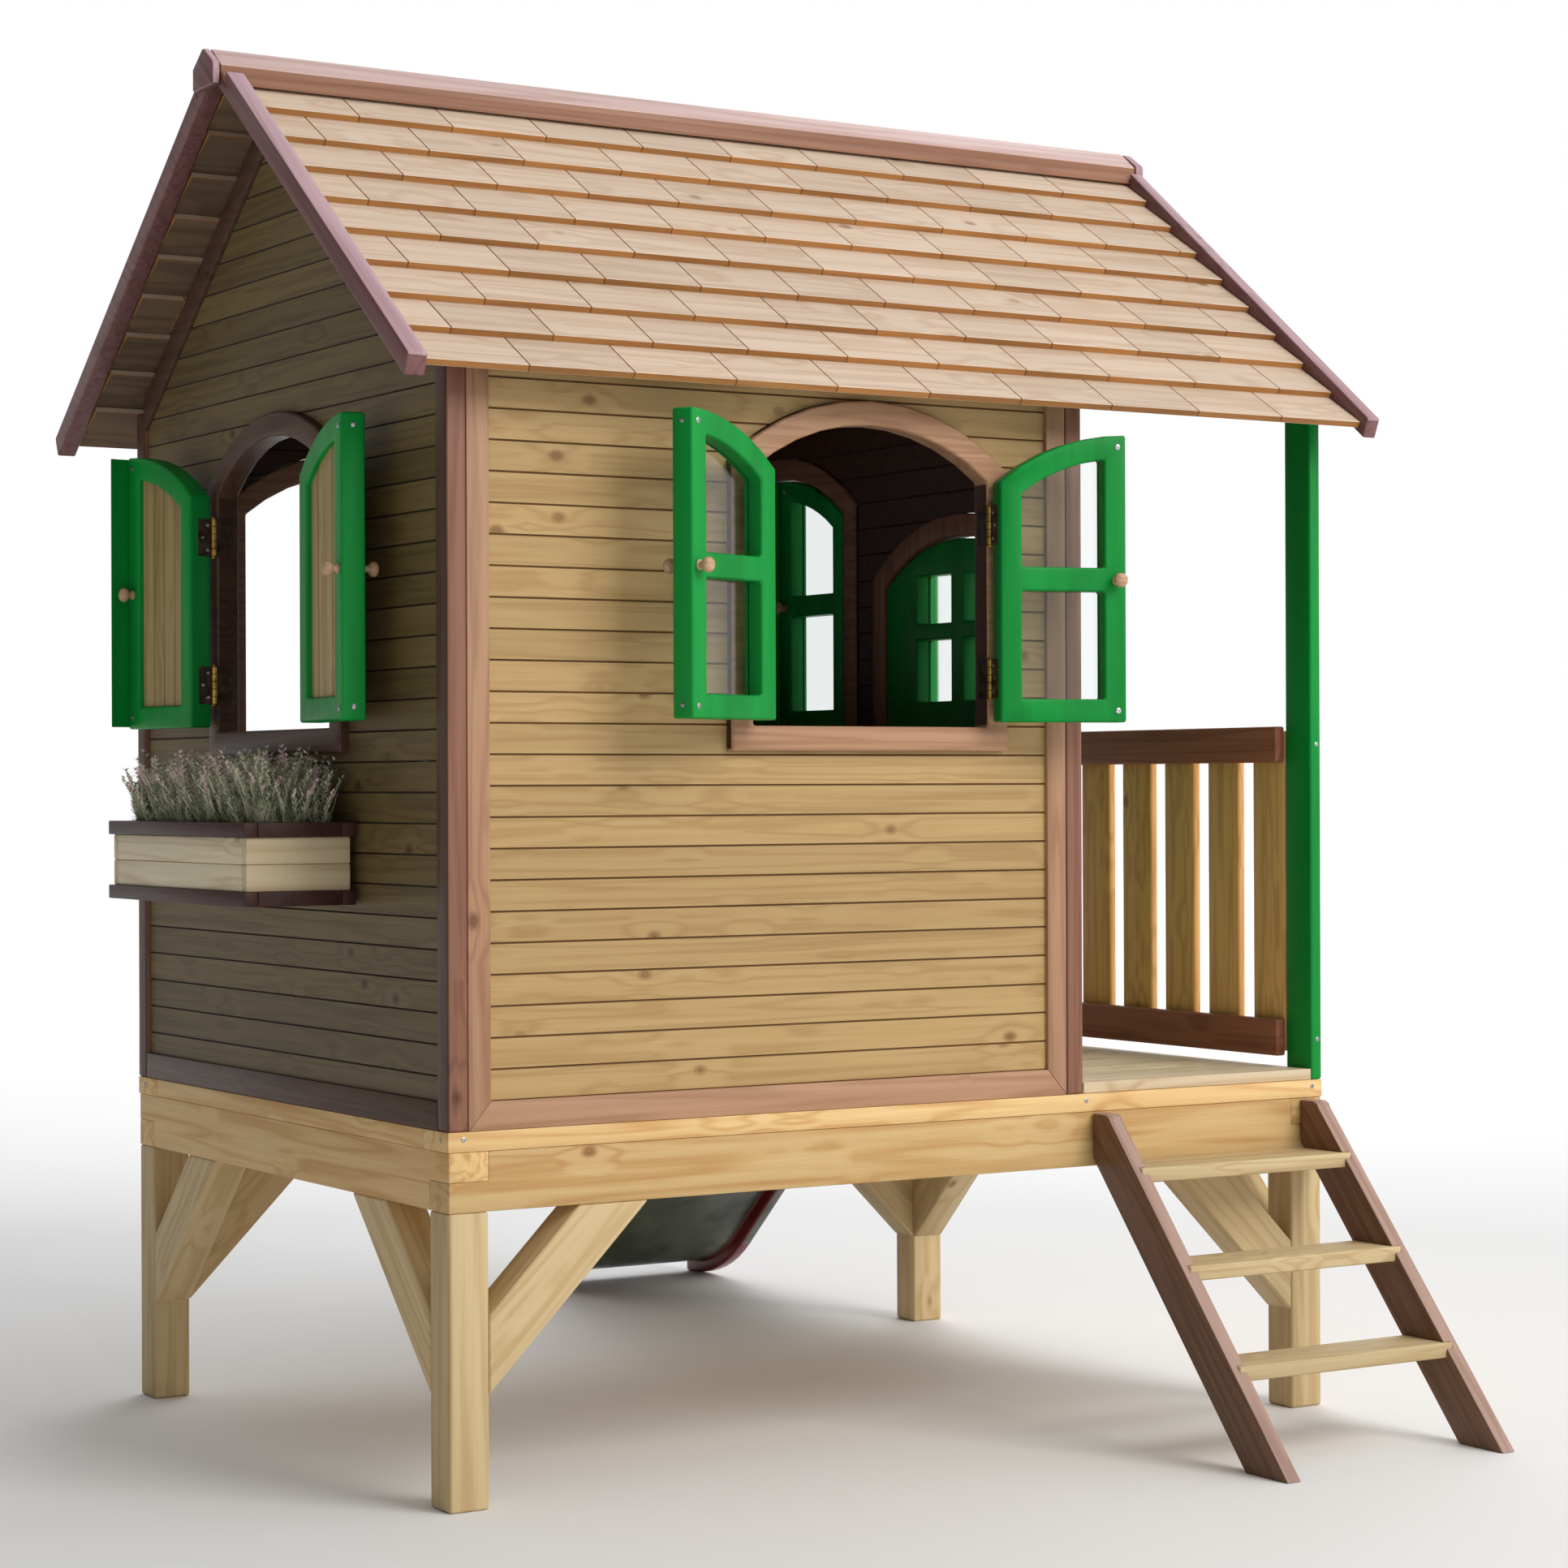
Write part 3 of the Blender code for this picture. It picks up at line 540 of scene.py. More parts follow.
stain = {way: stained("brown_stain", STAIN_PALE, STAIN_DARK, way) for way in "xz"}
deep_stain = {way: stained("deep_stain", DEEP_PALE, DEEP_DARK, way) for way in "yz"}
# A darker copy of the brown stain, painted shade on the gable wall's trims and surround and on the
# posts' left faces.
SHADY_PALE = colour(92, 66, 52)
SHADY_DARK = colour(62, 42, 34)
stain_in_shade = {way: stained("stain_in_shade", SHADY_PALE, SHADY_DARK, way) for way in "yz"}
# Painted shade: a dark brown for the room's inside and the surrounds' inner edges, where the light
# does not reach.
room_shade = stained("room_shade", colour(74, 44, 30), colour(46, 26, 18), "x")
# The gable walls' trims take darker stains than the front's, as painted shade.
GABLE_TRIM_STAINS = {"left": stain_in_shade, "veranda": deep_stain}
INWARD = {"front": (1, 1), "rear": (1, -1), "left": (0, 1), "veranda": (0, -1)}


def line_room(piece, wall):
    """Paints the room side of a wall's boards dark, as painted shade inside the room."""
    way, sign = INWARD[wall]
    piece.data.materials.append(room_shade)
    for face in piece.data.polygons:
        if face.normal[way] * sign > 0.6:
            face.material_index = 2


for name in ("front", "rear"):
    run = (POST[0], HOUSE - POST[0])
    boards = saw_out(siding(run, SKIRTING, EAVES), arch_block(WINDOWS[name], SILL, WINDOW_TOP))
    wall = [f"{name}_wall"]
    boards = fit(boards, WALLS[name], f"{name}_siding", siding_x, replaced=wall)
    darken(boards, groove_shade_x, lambda face: abs(face.normal.z) > 0.3)
    line_room(boards, name)
    uprights = []
    cuts = []
    for x, way in ((run[0], 1), (run[1], -1)):
        mitre = ((x, 0, TRIM_FOOT), (way * MITRE[0], 0, -MITRE[1]))
        ends = sorted((x, x + way * TRIM_WIDE))
        start = (ends[0], TRIM_FACE[0], TRIM_FOOT)
        uprights.append(frame_board(start, (ends[1], TRIM_FACE[1], EAVES), (mitre,)))
        cuts.append(((x, 0, TRIM_FOOT), (-way * MITRE[0], 0, MITRE[1])))
    fit(uprights, WALLS[name], f"{name}_wall_uprights", stain["z"])
    start = (run[0], TRIM_FACE[0], TRIM_FOOT)
    bottom = frame_board(start, (run[1], TRIM_FACE[1], SKIRTING), cuts)
    start = (run[0] + TRIM_WIDE, 0, EAVES - TRIM_WIDE)
    head_board = frame_board(start, (run[1] - TRIM_WIDE, TRIM_FACE[1], EAVES))
    fit([bottom, head_board], WALLS[name], f"{name}_wall_rails", stain["x"])
for name, foot in (("left", 0.0005), ("veranda", DECK_TOP + 0.0005)):
    run = (POST[1], DEPTH - POST[1])
    boards = siding(run, GABLE_FIRST, SOFFIT + RISE * MIDDLE, foot)
    boards = [piece for piece in boards if under_roof(piece)]
    boards = saw_out(boards, arch_block(WINDOWS[name], SILL, WINDOW_TOP))
    if name == "veranda":
        boards = saw_out(boards, arch_block(DOOR, 0.40, DOOR_TOP))
        low = (DOOR - WINDOW_EDGE, -0.05, -0.05)
        boards = saw_out(boards, board(low, (DOOR + WINDOW_EDGE, 0.1, 0.47), 0, 0))
    wall = [f"{name}_wall"]
    boards = fit(boards, WALLS[name], f"{name}_siding", siding_in_shade_y, replaced=wall)
    darken(boards, groove_shade_y, lambda face: abs(face.normal.z) > 0.3 and abs(face.normal.y) < 0.3)
    line_room(boards, name)
    trims = []
    for way in (1, -1):
        rake = board((-0.2, TRIM_FACE[0], -0.048), (1.2, TRIM_FACE[1], 0), 0, 0)
        tilt = Matrix.Rotation(-SLOPE, 4, "Y")
        rake.data.transform(Matrix.Translation((0, 0, SOFFIT - 0.0005)) @ tilt)
        slice_off(rake, (POST[1], 0, 0), (-1, 0, 0))
        slice_off(rake, (MIDDLE - 0.0003, 0, 0), (1, 0, 0))
        if way < 0:
            half_turn = Matrix.Rotation(math.pi, 4, "Z")
            rake.data.transform(Matrix.Translation((DEPTH, 0, 0)) @ half_turn)
            rake.data.transform(Matrix.Translation((0, TRIM_FACE[1], 0)))
        soften(rake, TRIM_EASE)
        trims.append(rake)
    start = run[0] if name == "left" else DOOR + WINDOW_EDGE + 0.001
    trims.append(frame_board((start, TRIM_FACE[0], foot), (run[1], TRIM_FACE[1], foot + SKIRTING)))
    fit(trims, WALLS[name], f"{name}_wall_trims", GABLE_TRIM_STAINS[name]["y"])


# Corner posts and arched surrounds: brown-stained softwood, the arches sawn from wide boards.
# The posts are painted darker where they face left, and the surrounds on their inner edges, as
# painted shade.
for depth in ("front", "rear"):
    for side in ("left", "right"):
        node = f"{depth}_{side}_corner_post"
        made = dress(node, "timber", deep_stain["z"], BOARD_EASE)
        darken(made, stain_in_shade["z"], lambda face: face.normal.x < -0.6)
# The gable walls' surrounds take the darker stains, as painted shade.
ARCHES = {
    "front": (stain["x"], 1),
    "left": (stain_in_shade["y"], 0),
    "rear": (stain["x"], 1),
    "veranda": (deep_stain["y"], 0),
}
for name, (wood, way) in ARCHES.items():
    made = dress(f"{name}_window_surround", "arch", wood, BOARD_EASE)
    darken(made, room_shade, lambda face: abs(face.normal[way]) < 0.3 and face.area > 0.002)
dress("door_surround", "arch", deep_stain["z"], BOARD_EASE)


# Roof: short pale boards lapped in courses like shingles and nailed through the lap, each course
# breaking the joints of the one below. They show from below in the overhangs.
EAVE = (-OVERHANG, 1.204)
COURSE = 0.0785
COURSES = 10
DROP = 0.014
SHINGLE = 0.187
LAP = 0.016
ROOF_RUN = (-0.0835, 1.8075)
tilt = math.atan(RISE - DROP / COURSE)
SHINGLE_PALE = colour(210, 190, 170)
SHINGLE_DARK = colour(184, 155, 128)
shingle_wood = timber("shingle", SHINGLE_PALE, SHINGLE_DARK, "x", 5, 0.7, 0.6, 0.25, 0.06, 1.6)
# Painted shade: darker colours for the shingles' undersides in the overhangs and for their cut ends
# and drop edges.
shingle_underside_shade = timber("shingle_underside_shade", colour(118, 96, 74), colour(84, 64, 48), "x", 6, 0.5, 0.7)
shingle_edge_shade = timber("shingle_edge_shade", colour(168, 116, 62), colour(128, 82, 42), "x", 6, 0, 0.6)
for name in ("front", "rear"):
    shingles = []
    for course in range(COURSES):
        y = EAVE[0] + COURSE * course
        z = EAVE[1] + RISE * COURSE * course
        reach = min(COURSE + LAP, MIDDLE - 0.0005 - y) / math.cos(tilt)
        x = ROOF_RUN[0]
        step = SHINGLE * (0.45 if course % 2 else 1.0) + chance.uniform(-0.012, 0.012)
        while x < ROOF_RUN[1] - 0.001:
            end = min(x + step, ROOF_RUN[1])
            if ROOF_RUN[1] - end < 0.03:
                end = ROOF_RUN[1]
            piece = board((x, 0, -DROP * math.cos(tilt)), (end - 0.0008, reach, 0), 0.0010, 1)
            piece.data.transform(Matrix.Translation((0, y, z)) @ Matrix.Rotation(tilt, 4, "X"))
            shingles.append(piece)
            x = end
            step = SHINGLE + chance.uniform(-0.01, 0.01)
    slope = together(shingles)
    if name == "rear":
        half_turn = Matrix.Rotation(math.pi, 4, "Z")
        slope.data.transform(Matrix.Translation((LENGTH - 0.066, DEPTH, 0)) @ half_turn)
    slope.data.transform(Matrix.Translation(at(0, 0, 0)))
    settle(slope, f"{name}_shingles", shingle_wood, replaced=[f"{name}_roof"])
    darken(
        slope,
        shingle_edge_shade,
        lambda face: abs(face.normal.x) > 0.3
        or (face.normal.z < 0.1 and face.area < 0.004 and abs(face.normal.y) > 0.6),
    )
    slope.data.materials.append(shingle_underside_shade)
    for face in slope.data.polygons:
        if face.normal.z < -0.6 and face.area > 0.004:
            face.material_index = 2


# Ridge cap, bargeboards and the blocks that close the ridge's ends: smooth softwood stained a
# mauve brown, screwed over the shingles' ends, with rounded edges on the bargeboards.
def mauve(name, pale, dark, grain, close):
    return timber(name, pale, dark, grain, 6, 0.15, 0.4, 0.2, 0.06, close)


def under_cap(face):
    """Whether a face of the ridge cap belongs to its lower layer."""
    return RIDGE_TOP - RISE * abs(face.center.y - RIDGE_MIDDLE) - face.center.z > 0.006


RIDGE_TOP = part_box("ridge_cap")[1].z
RIDGE_MIDDLE = EDGE_LOW.y + MIDDLE
rake_turn = (math.radians(-38), 0, QUARTER)
# The cap's upper layer is painted pale pink over the stain, a painted sky reflection; its lower
# layer keeps the brown.
ridge_sky_sheen = mauve("ridge_stain_x", colour(208, 180, 176), colour(176, 140, 130), "x", 1.0)
ridge_lower = mauve("ridge_stain_lower", colour(152, 108, 84), colour(121, 80, 57), "x", 1.0)
rake_wood = mauve("rake_stain", colour(182, 150, 158), colour(148, 112, 118), rake_turn, 2.0)
# The bargeboards' and ridge blocks' sides and undersides are painted darker, as painted shade.
rake_shade = mauve("rake_side_stain", colour(131, 91, 91), colour(95, 61, 61), rake_turn, 2.0)
darken(dress("ridge_cap", "boards", ridge_sky_sheen, 0.002), ridge_lower, under_cap)
for side in ("left", "right"):
    for part, ease in (("bargeboard", 0.004), ("ridge_block", TIMBER_EASE)):
        made = dress(f"{side}_{part}", "timber", rake_wood, ease, 3)
        darken(made, rake_shade, lambda face: abs(face.normal.x) > 0.6 or face.normal.z < -0.2)


# Leaves: green-painted frames on hinge pins. The front casements, veranda sashes and door are
# glazed; the gable shutters hold beaded boards, left in their own colour.
def paint(name, base, rough=0.38):
    """Brushed paint on wood: a faint grain under it and small changes of tone."""
    recipe = Recipe(name)
    (wide, fine), _ = recipe.places(GRAIN["z"], ((1.6, 14, 14), (6, 260, 260)))
    cloud = recipe.noise(wide, 1.0, 3.0, 0.55)
    fibre = recipe.noise(fine, 1.0, 2.0, 0.5)
    deep = tuple(c * 0.62 for c in base[:3]) + (1.0,)
    shade = recipe.blend(recipe.span(cloud, 0.42, 0.8), base, deep)
    recipe.feed(recipe.shader.inputs["Base Color"], shade)
    recipe.shader.inputs["Specular IOR Level"].default_value = 0.18
    gloss = recipe.span(fibre, 0.2, 0.8, rough - 0.06, rough + 0.12)
    recipe.feed(recipe.shader.inputs["Roughness"], gloss)
    bump = recipe.add("Bump", Strength=0.25, Distance=0.0006, Height=fibre).outputs[0]
    recipe.feed(recipe.shader.inputs["Normal"], bump)
    return recipe.material


green = paint("green_paint", colour(7, 142, 56))
glass = Recipe("window_glass")
glass.shader.inputs["Base Color"].default_value = (0.93, 0.97, 0.96, 1)
glass.shader.inputs["Roughness"].default_value = 0.03
glass.shader.inputs["Transmission Weight"].default_value = 1.0
glass.shader.inputs["IOR"].default_value = 1.45
ripple = glass.noise(glass.add("TexCoord").outputs["Object"], 9.0, 1.0)
bump = glass.add("Bump", Strength=0.06, Distance=0.001, Height=ripple).outputs[0]
glass.feed(glass.shader.inputs["Normal"], bump)

LEAVES = {
    "front_left_casement": "front",
    "front_right_casement": "front",
    "rear_shutter": "left",
    "front_shutter": "left",
    "front_veranda_sash": "veranda",
    "rear_veranda_sash": "veranda",
    "door": "veranda",
}
TURNS = {"front": 0, "left": -90, "veranda": 90}
JOINTS = {joint["child"]: joint for joint in frame["joints"]}


def swing(leaf):
    """(hand, the leaf's place from its pin as it stands, the wall's place at the pin)."""
    joint = JOINTS[leaf]
    hand = -joint["axis"][2]
    pin = Matrix.Translation((joint["pos_m"][0], joint["pos_m"][1], EDGE_HIGH.z))
    wall = pin @ Matrix.Rotation(math.radians(TURNS[LEAVES[leaf]]), 4, "Z")
    opened = -joint["range_deg"][0]
    return hand, wall @ Matrix.Rotation(-hand * math.radians(opened), 4, "Z"), wall


for leaf in LEAVES:
    dress(leaf, "frame", green, BOARD_EASE, body=leaf)
    pane = frame["nodes"].get(f"{leaf}_pane")
    if pane:
        pane.data.materials.clear()
        pane.data.materials.append(glass.material)


# Beaded boards of the shutters: four narrow upright boards with rounded edges, in unpainted pine,
# let into a groove in the frame.
LEAF_BACK = 0.004
BEADS = (0.041, 0.197)
BEAD_FOOT = 0.684
BEAD_ARCH = (0.237, 0.781, 0.328)
BEAD_EASE = 0.004
BEAD_PALE = colour(176, 154, 104)
BEAD_DARK = colour(136, 108, 66)
bead_wood = timber("bead_boards", BEAD_PALE, BEAD_DARK, "z", 6, 0.4, 0.5, 0.25, 0.1, 2.0)
for leaf in ("rear_shutter", "front_shutter"):
    hand, place, _ = swing(leaf)
    beads = []
    wide = (BEADS[1] - BEADS[0]) / 4
    for i in range(4):
        x = BEADS[0] + wide * i
        top = BEAD_ARCH[1] + math.sqrt(BEAD_ARCH[2] ** 2 - (BEAD_ARCH[0] - x - wide) ** 2) + 0.004
        ends = sorted((hand * x, hand * (x + wide - 0.0006)))
        start = (ends[0], LEAF_BACK + 0.009, BEAD_FOOT)
        beads.append(board(start, (ends[1], LEAF_BACK + 0.032, top), BEAD_EASE))
    fit(beads, place, f"{leaf}_beads", bead_wood, leaf)


# Cover strip: a thin painted lath tacked to the rear shutter's free edge, which closes the gap
# between the pair and stands into the room.
STRIP = ((0.2352, 0.030, 0.656), (0.2384, 0.078, 1.146))
strip = board(*STRIP, 0.0008, 1)
strip.data.transform(swing("rear_shutter")[1])
settle(strip, "rear_shutter_strip", green, "rear_shutter")


# Hinges: two pressed butt hinges to a leaf, of aged brass, three to the door. Each has a pin with
# five knuckles and two plates, and steel screws hold it to the leaf's edge.
def metal(name, pale, dark, rough):
    recipe = Recipe(name)
    spot = recipe.add("TexCoord").outputs["Object"]
    cloud = recipe.noise(spot, 60.0, 3.0, 0.5)
    shade = recipe.blend(recipe.span(cloud, 0.35, 0.7), pale, dark)
    recipe.feed(recipe.shader.inputs["Base Color"], shade)
    recipe.feed(recipe.shader.inputs["Roughness"], recipe.span(cloud, 0.2, 0.8, rough, rough + 0.2))
    recipe.shader.inputs["Metallic"].default_value = 1.0
    return recipe.material


def turned(profile, place, vertices=20):
    """A turned piece standing up from its foot: (height, radius) steps from the foot to the top."""
    bpy.ops.object.select_all(action="DESELECT")
    bpy.ops.mesh.primitive_circle_add(vertices=vertices, radius=profile[0][1], fill_type="NGON")
    piece = bpy.context.active_object
    bpy.ops.object.mode_set(mode="EDIT")
    bpy.ops.mesh.select_all(action="SELECT")
    for (low, narrow), (high, wide) in zip(profile, profile[1:]):
        bpy.ops.mesh.extrude_region_move(TRANSFORM_OT_translate={"value": (0, 0, high - low)})
        bpy.ops.transform.resize(value=(wide / narrow, wide / narrow, 1))
    bpy.ops.mesh.select_all(action="SELECT")
    bpy.ops.mesh.normals_make_consistent(inside=False)
    bpy.ops.object.mode_set(mode="OBJECT")
    piece.data.transform(Matrix.Translation((0, 0, profile[0][0])))
    piece.data.transform(place)
    stamp(piece)
    return piece


HINGE = 0.067
LEAF_FEET = (0.694, 0.958)
DOOR_FEET = (0.12, 0.46, 0.80)
KNUCKLE = 0.0054
PIN_TIP = ((0, 0.0036), (0.0012, 0.0046), (0.0030, 0.0040), (0.0044, 0.0016))
brass = metal("aged_brass", colour(214, 178, 92), colour(160, 122, 62), 0.25)
bronze = metal("dark_bronze", colour(92, 76, 66), colour(58, 46, 40), 0.4)
screw_steel = metal("screw_steel", colour(196, 196, 200), colour(130, 130, 134), 0.25)
SCREW_HEAD = [(0, 0.0042), (0.0006, 0.0042), (0.0011, 0.0032), (0.0011, 0.0016), (0.0005, 0.0012)]


def screw(place, direction, scale=1.0):
    """A countersunk head whose face looks along a direction."""
    turn = Vector(direction).to_track_quat("Z", "Y").to_matrix().to_4x4()
    profile = [(height * scale, radius * scale) for height, radius in SCREW_HEAD]
    return turned(profile, Matrix.Translation(place) @ turn, 14)


for leaf in LEAVES:
    hand, place, wall = swing(leaf)
    moving, fixed, plates, frames, heads = [], [], [], [], []
    for foot in DOOR_FEET if leaf == "door" else LEAF_FEET:
        part = HINGE / 5
        for i in range(5):
            low = foot + part * i
            steps = [
                (low + 0.0003, KNUCKLE - 0.0006),
                (low + 0.0009, KNUCKLE),
                (low + part - 0.0009, KNUCKLE),
                (low + part - 0.0003, KNUCKLE - 0.0006),
            ]
            (moving if i % 2 else fixed).append(turned(steps, Matrix.Identity(4), 18))
        for end, way in ((foot + HINGE, 1), (foot, -1)):
            tip = [(height * way, radius) for height, radius in PIN_TIP]
            fixed.append(turned(tip, Matrix.Translation((0, 0, end)), 16))
        edge = sorted((hand * 0.0016, hand * 0.0030))
        plates.append(board((edge[0], 0.001, foot), (edge[1], 0.030, foot + HINGE), 0.0004, 1))
        edge = sorted((hand * 0.0001, hand * 0.0013))
        frames.append(board((edge[0], 0.001, foot), (edge[1], 0.034, foot + HINGE), 0.0004, 1))
        for i, deep in enumerate((0.012, 0.022, 0.012)):
            z = foot + HINGE * (0.17 + 0.33 * i)
            heads.append(screw((hand * 0.0012, deep, z), (-hand, 0, 0), 0.8))
    fit(moving, place, f"{leaf}_hinge_knuckles", brass, leaf)
    fit(plates, place, f"{leaf}_hinge_plates", bronze, leaf)
    fit(heads, place, f"{leaf}_hinge_screws", screw_steel, leaf)
    fit(fixed, wall, f"{leaf}_hinge_pins", brass)
    fit(frames, wall, f"{leaf}_hinge_frame_plates", bronze)


# Knobs: small turned beech knobs on both faces of every leaf, at the middle rail or a child's
# height on the door. Each small leaf also has a screw head at its free corners.
KNOB = [
    (0, 0.0085),
    (0.0020, 0.0090),
    (0.0036, 0.0062),
    (0.0085, 0.0056),
    (0.0110, 0.0086),
    (0.0140, 0.0116),
    (0.0175, 0.0129),
    (0.0210, 0.0124),
    (0.0240, 0.0104),
    (0.0262, 0.0066),
    (0.0270, 0.0020),
]
LEAF_KNOB = (0.217, 0.897)
DOOR_KNOB = (0.440, 0.50)
LEAF_THICK = 0.041
LEAF_FACE = LEAF_BACK + LEAF_THICK
knob_wood = timber("knob_wood", colour(200, 166, 134), colour(160, 120, 88), "x", 20, 0, 0.3, 0.1)
for leaf in LEAVES:
    hand, place, _ = swing(leaf)
    reach, height = DOOR_KNOB if leaf == "door" else LEAF_KNOB
    pair = []
    for y, way in ((LEAF_BACK, 1), (LEAF_FACE, -1)):
        turn = Matrix.Rotation(way * math.pi / 2, 4, "X")
        pair.append(turned(KNOB, Matrix.Translation((hand * reach, y, height)) @ turn, 24))
    fit(pair, place, f"{leaf}_knobs", knob_wood, leaf)
    if leaf != "door":
        heads = [screw((hand * 0.2351, 0.0245, z), (hand, 0, 0)) for z in (0.674, 1.128)]
        for z in (0.672, 1.128):
            heads.append(screw((hand * 0.219, LEAF_FACE + 0.0001, z), (0, 1, 0), 1.2))
        fit(heads, place, f"{leaf}_corner_screws", screw_steel, leaf)


# Veranda: green posts under the roof's end and, between them, two brown rails with upright pine
# slats screwed to their outer face.
for name in ("front", "rear"):
    dress(f"{name}_veranda_post", "timber", green, TIMBER_EASE)
RAIL_LOW, RAIL_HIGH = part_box("veranda_railing")
RAIL_X = (RAIL_LOW[0], RAIL_LOW[0] + 0.0215)
SLAT_X = (RAIL_X[1] + 0.0002, RAIL_HIGH[0])
RAILS = ((0.040, 0.108), (0.584, 0.651))
RAIL_PALE = colour(161, 100, 77)
RAIL_DARK = colour(116, 67, 52)
rail_stain = timber("rail_stain", RAIL_PALE, RAIL_DARK, "y", 6, 0.2, 0.4, 0.25, 0.08, 2.0)
pair = []
for low, high in RAILS:
    start = (RAIL_X[0], RAIL_LOW[1], EDGE_HIGH.z + low)
    pair.append(board(start, (RAIL_X[1], RAIL_HIGH[1], EDGE_HIGH.z + high), 0.004, 3))
settle(together(pair), "railing_rails", rail_stain, replaced=["veranda_railing"])
SLATS = 9
SLAT_PALE = colour(240, 187, 117)
SLAT_DARK = colour(190, 137, 79)
slat_pitch = (RAIL_HIGH[1] - RAIL_LOW[1] + 0.038) / SLATS
slats = []
for i in range(SLATS):
    y = RAIL_LOW[1] + slat_pitch * i + 0.002
    start = (SLAT_X[0], y, EDGE_HIGH.z + 0.048)
    slats.append(board(start, (SLAT_X[1], y + slat_pitch - 0.042, EDGE_HIGH.z + 0.643), 0.005, 3))
slat_wood = timber("slat_wood", SLAT_PALE, SLAT_DARK, "z", 6, 0.7, 0.5, 0.25, 0.08, 2.0)
settle(together(slats), "railing_slats", slat_wood)


# Stairs: brown stringers that lean on the platform, with paler top faces, and three pale pine
# treads housed in them.
def stringer_stain(name, pale, dark):
    turn = (math.radians(-49), 0, QUARTER)
    return timber(name, pale, dark, turn, 6, 0.2, 0.45, 0.25, 0.08, 2.0)


stringer_wood = stringer_stain("stringer_stain", colour(128, 94, 72), colour(88, 60, 44))
stringer_top = stringer_stain("stringer_edge", colour(178, 148, 134), colour(142, 108, 94))
for side in ("left", "right"):
    made = dress(f"{side}_stringer", "timber", stringer_wood, 0.003)
    darken(made, stringer_top, lambda face: face.normal.z > 0.3)
TREAD_PALE = colour(208, 188, 146)
TREAD_DARK = colour(176, 146, 102)
tread_wood = timber("tread_wood", TREAD_PALE, TREAD_DARK, "x", 8, 0.7, 0.55, 0.3, 0.1, 1.5)
for name in ("top", "middle", "bottom"):
    dress(f"{name}_tread", "board", tread_wood, BOARD_EASE)


# Planter: a box of pale pine boards, two to a side, between dark brown rims. It hangs on the wall
# under the gable window and is filled with soil.
PLANT_LOW, PLANT_HIGH = (Vector(corner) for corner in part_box("planter"))
SET_BACK = 0.007
RIM = 0.024
WALL = 0.018
PLANK_EASE = 0.003
PLANK_PALE = colour(226, 214, 184)
PLANK_DARK = colour(190, 170, 134)
END_PALE = colour(222, 204, 170)
END_DARK = colour(192, 168, 128)
plank_wood = timber("planter_wood", PLANK_PALE, PLANK_DARK, "y", 7, 0.4, 0.55, 0.3, 0.1, 2.0)
end_wood = timber("planter_end_wood", END_PALE, END_DARK, "x", 5, 0.4, 0.55, 0.3, 0.1, 2.0)
rim_wood = timber("planter_rim", colour(74, 44, 39), colour(48, 27, 25), "y", 6, 0.2, 0.45)
low = PLANT_LOW + Vector((SET_BACK, SET_BACK, 0))
high = PLANT_HIGH - Vector((SET_BACK, SET_BACK, 0))
half = (PLANT_HIGH.z - PLANT_LOW.z - 2 * RIM) / 2
planks = []
ends = []
for i in range(2):
    z0 = PLANT_LOW.z + RIM + half * i
    z1 = z0 + half
    for x0, x1 in ((low.x, low.x + WALL), (high.x - WALL, high.x)):
        planks.append(board((x0, low.y + WALL, z0), (x1, high.y - WALL, z1), PLANK_EASE))
    for y0, y1 in ((low.y, low.y + WALL), (high.y - WALL, high.y)):
        ends.append(board((low.x, y0, z0), (high.x, y1, z1), PLANK_EASE))
bottom = ((low.x, low.y, PLANT_LOW.z + 0.002), (high.x, high.y, PLANT_LOW.z + 0.016))
planks.append(board(*bottom, 0.001, 1))
settle(together(planks), "planter_planks", plank_wood, replaced=["planter"])
settle(together(ends), "planter_ends", end_wood)
LEFT_INSIDE, RIGHT_INSIDE = low.x + WALL, high.x - WALL
FRONT_INSIDE, REAR_INSIDE = low.y + WALL, high.y - WALL
rims = []
for z in (PLANT_LOW.z, PLANT_HIGH.z - RIM):
    for x0, x1 in ((PLANT_LOW.x, LEFT_INSIDE), (RIGHT_INSIDE, PLANT_HIGH.x)):
        rims.append(board((x0, PLANT_LOW.y, z), (x1, PLANT_HIGH.y, z + RIM)))
    for y0, y1 in ((PLANT_LOW.y, FRONT_INSIDE), (REAR_INSIDE, PLANT_HIGH.y)):
        rims.append(board((LEFT_INSIDE + 0.0003, y0, z), (RIGHT_INSIDE - 0.0003, y1, z + RIM)))
settle(together(rims), "planter_rims", rim_wood)


# Soil: loose dark potting soil, filled to just under the rim. Its surface is uneven and its
# crumbs show.
SOIL_TOP = PLANT_HIGH.z - 0.022
SOIL_WIDE = RIGHT_INSIDE - LEFT_INSIDE - 0.002
SOIL_LONG = REAR_INSIDE - FRONT_INSIDE - 0.002
bpy.ops.object.select_all(action="DESELECT")
bpy.ops.mesh.primitive_grid_add(x_subdivisions=18, y_subdivisions=64, size=1)
soil = bpy.context.active_object
soil.data.transform(Matrix.Diagonal((SOIL_WIDE, SOIL_LONG, 1, 1)))
centre = ((LEFT_INSIDE + RIGHT_INSIDE) / 2, (FRONT_INSIDE + REAR_INSIDE) / 2, SOIL_TOP)
soil.data.transform(Matrix.Translation(centre))
for vert in soil.data.vertices:
    vert.co.z += chance.uniform(-0.004, 0.005)
thick = soil.modifiers.new("depth", "SOLIDIFY")
thick.thickness = 0.03
thick.offset = -1
bpy.ops.object.modifier_apply(modifier=thick.name)
stamp(soil)
earth = Recipe("potting_soil")
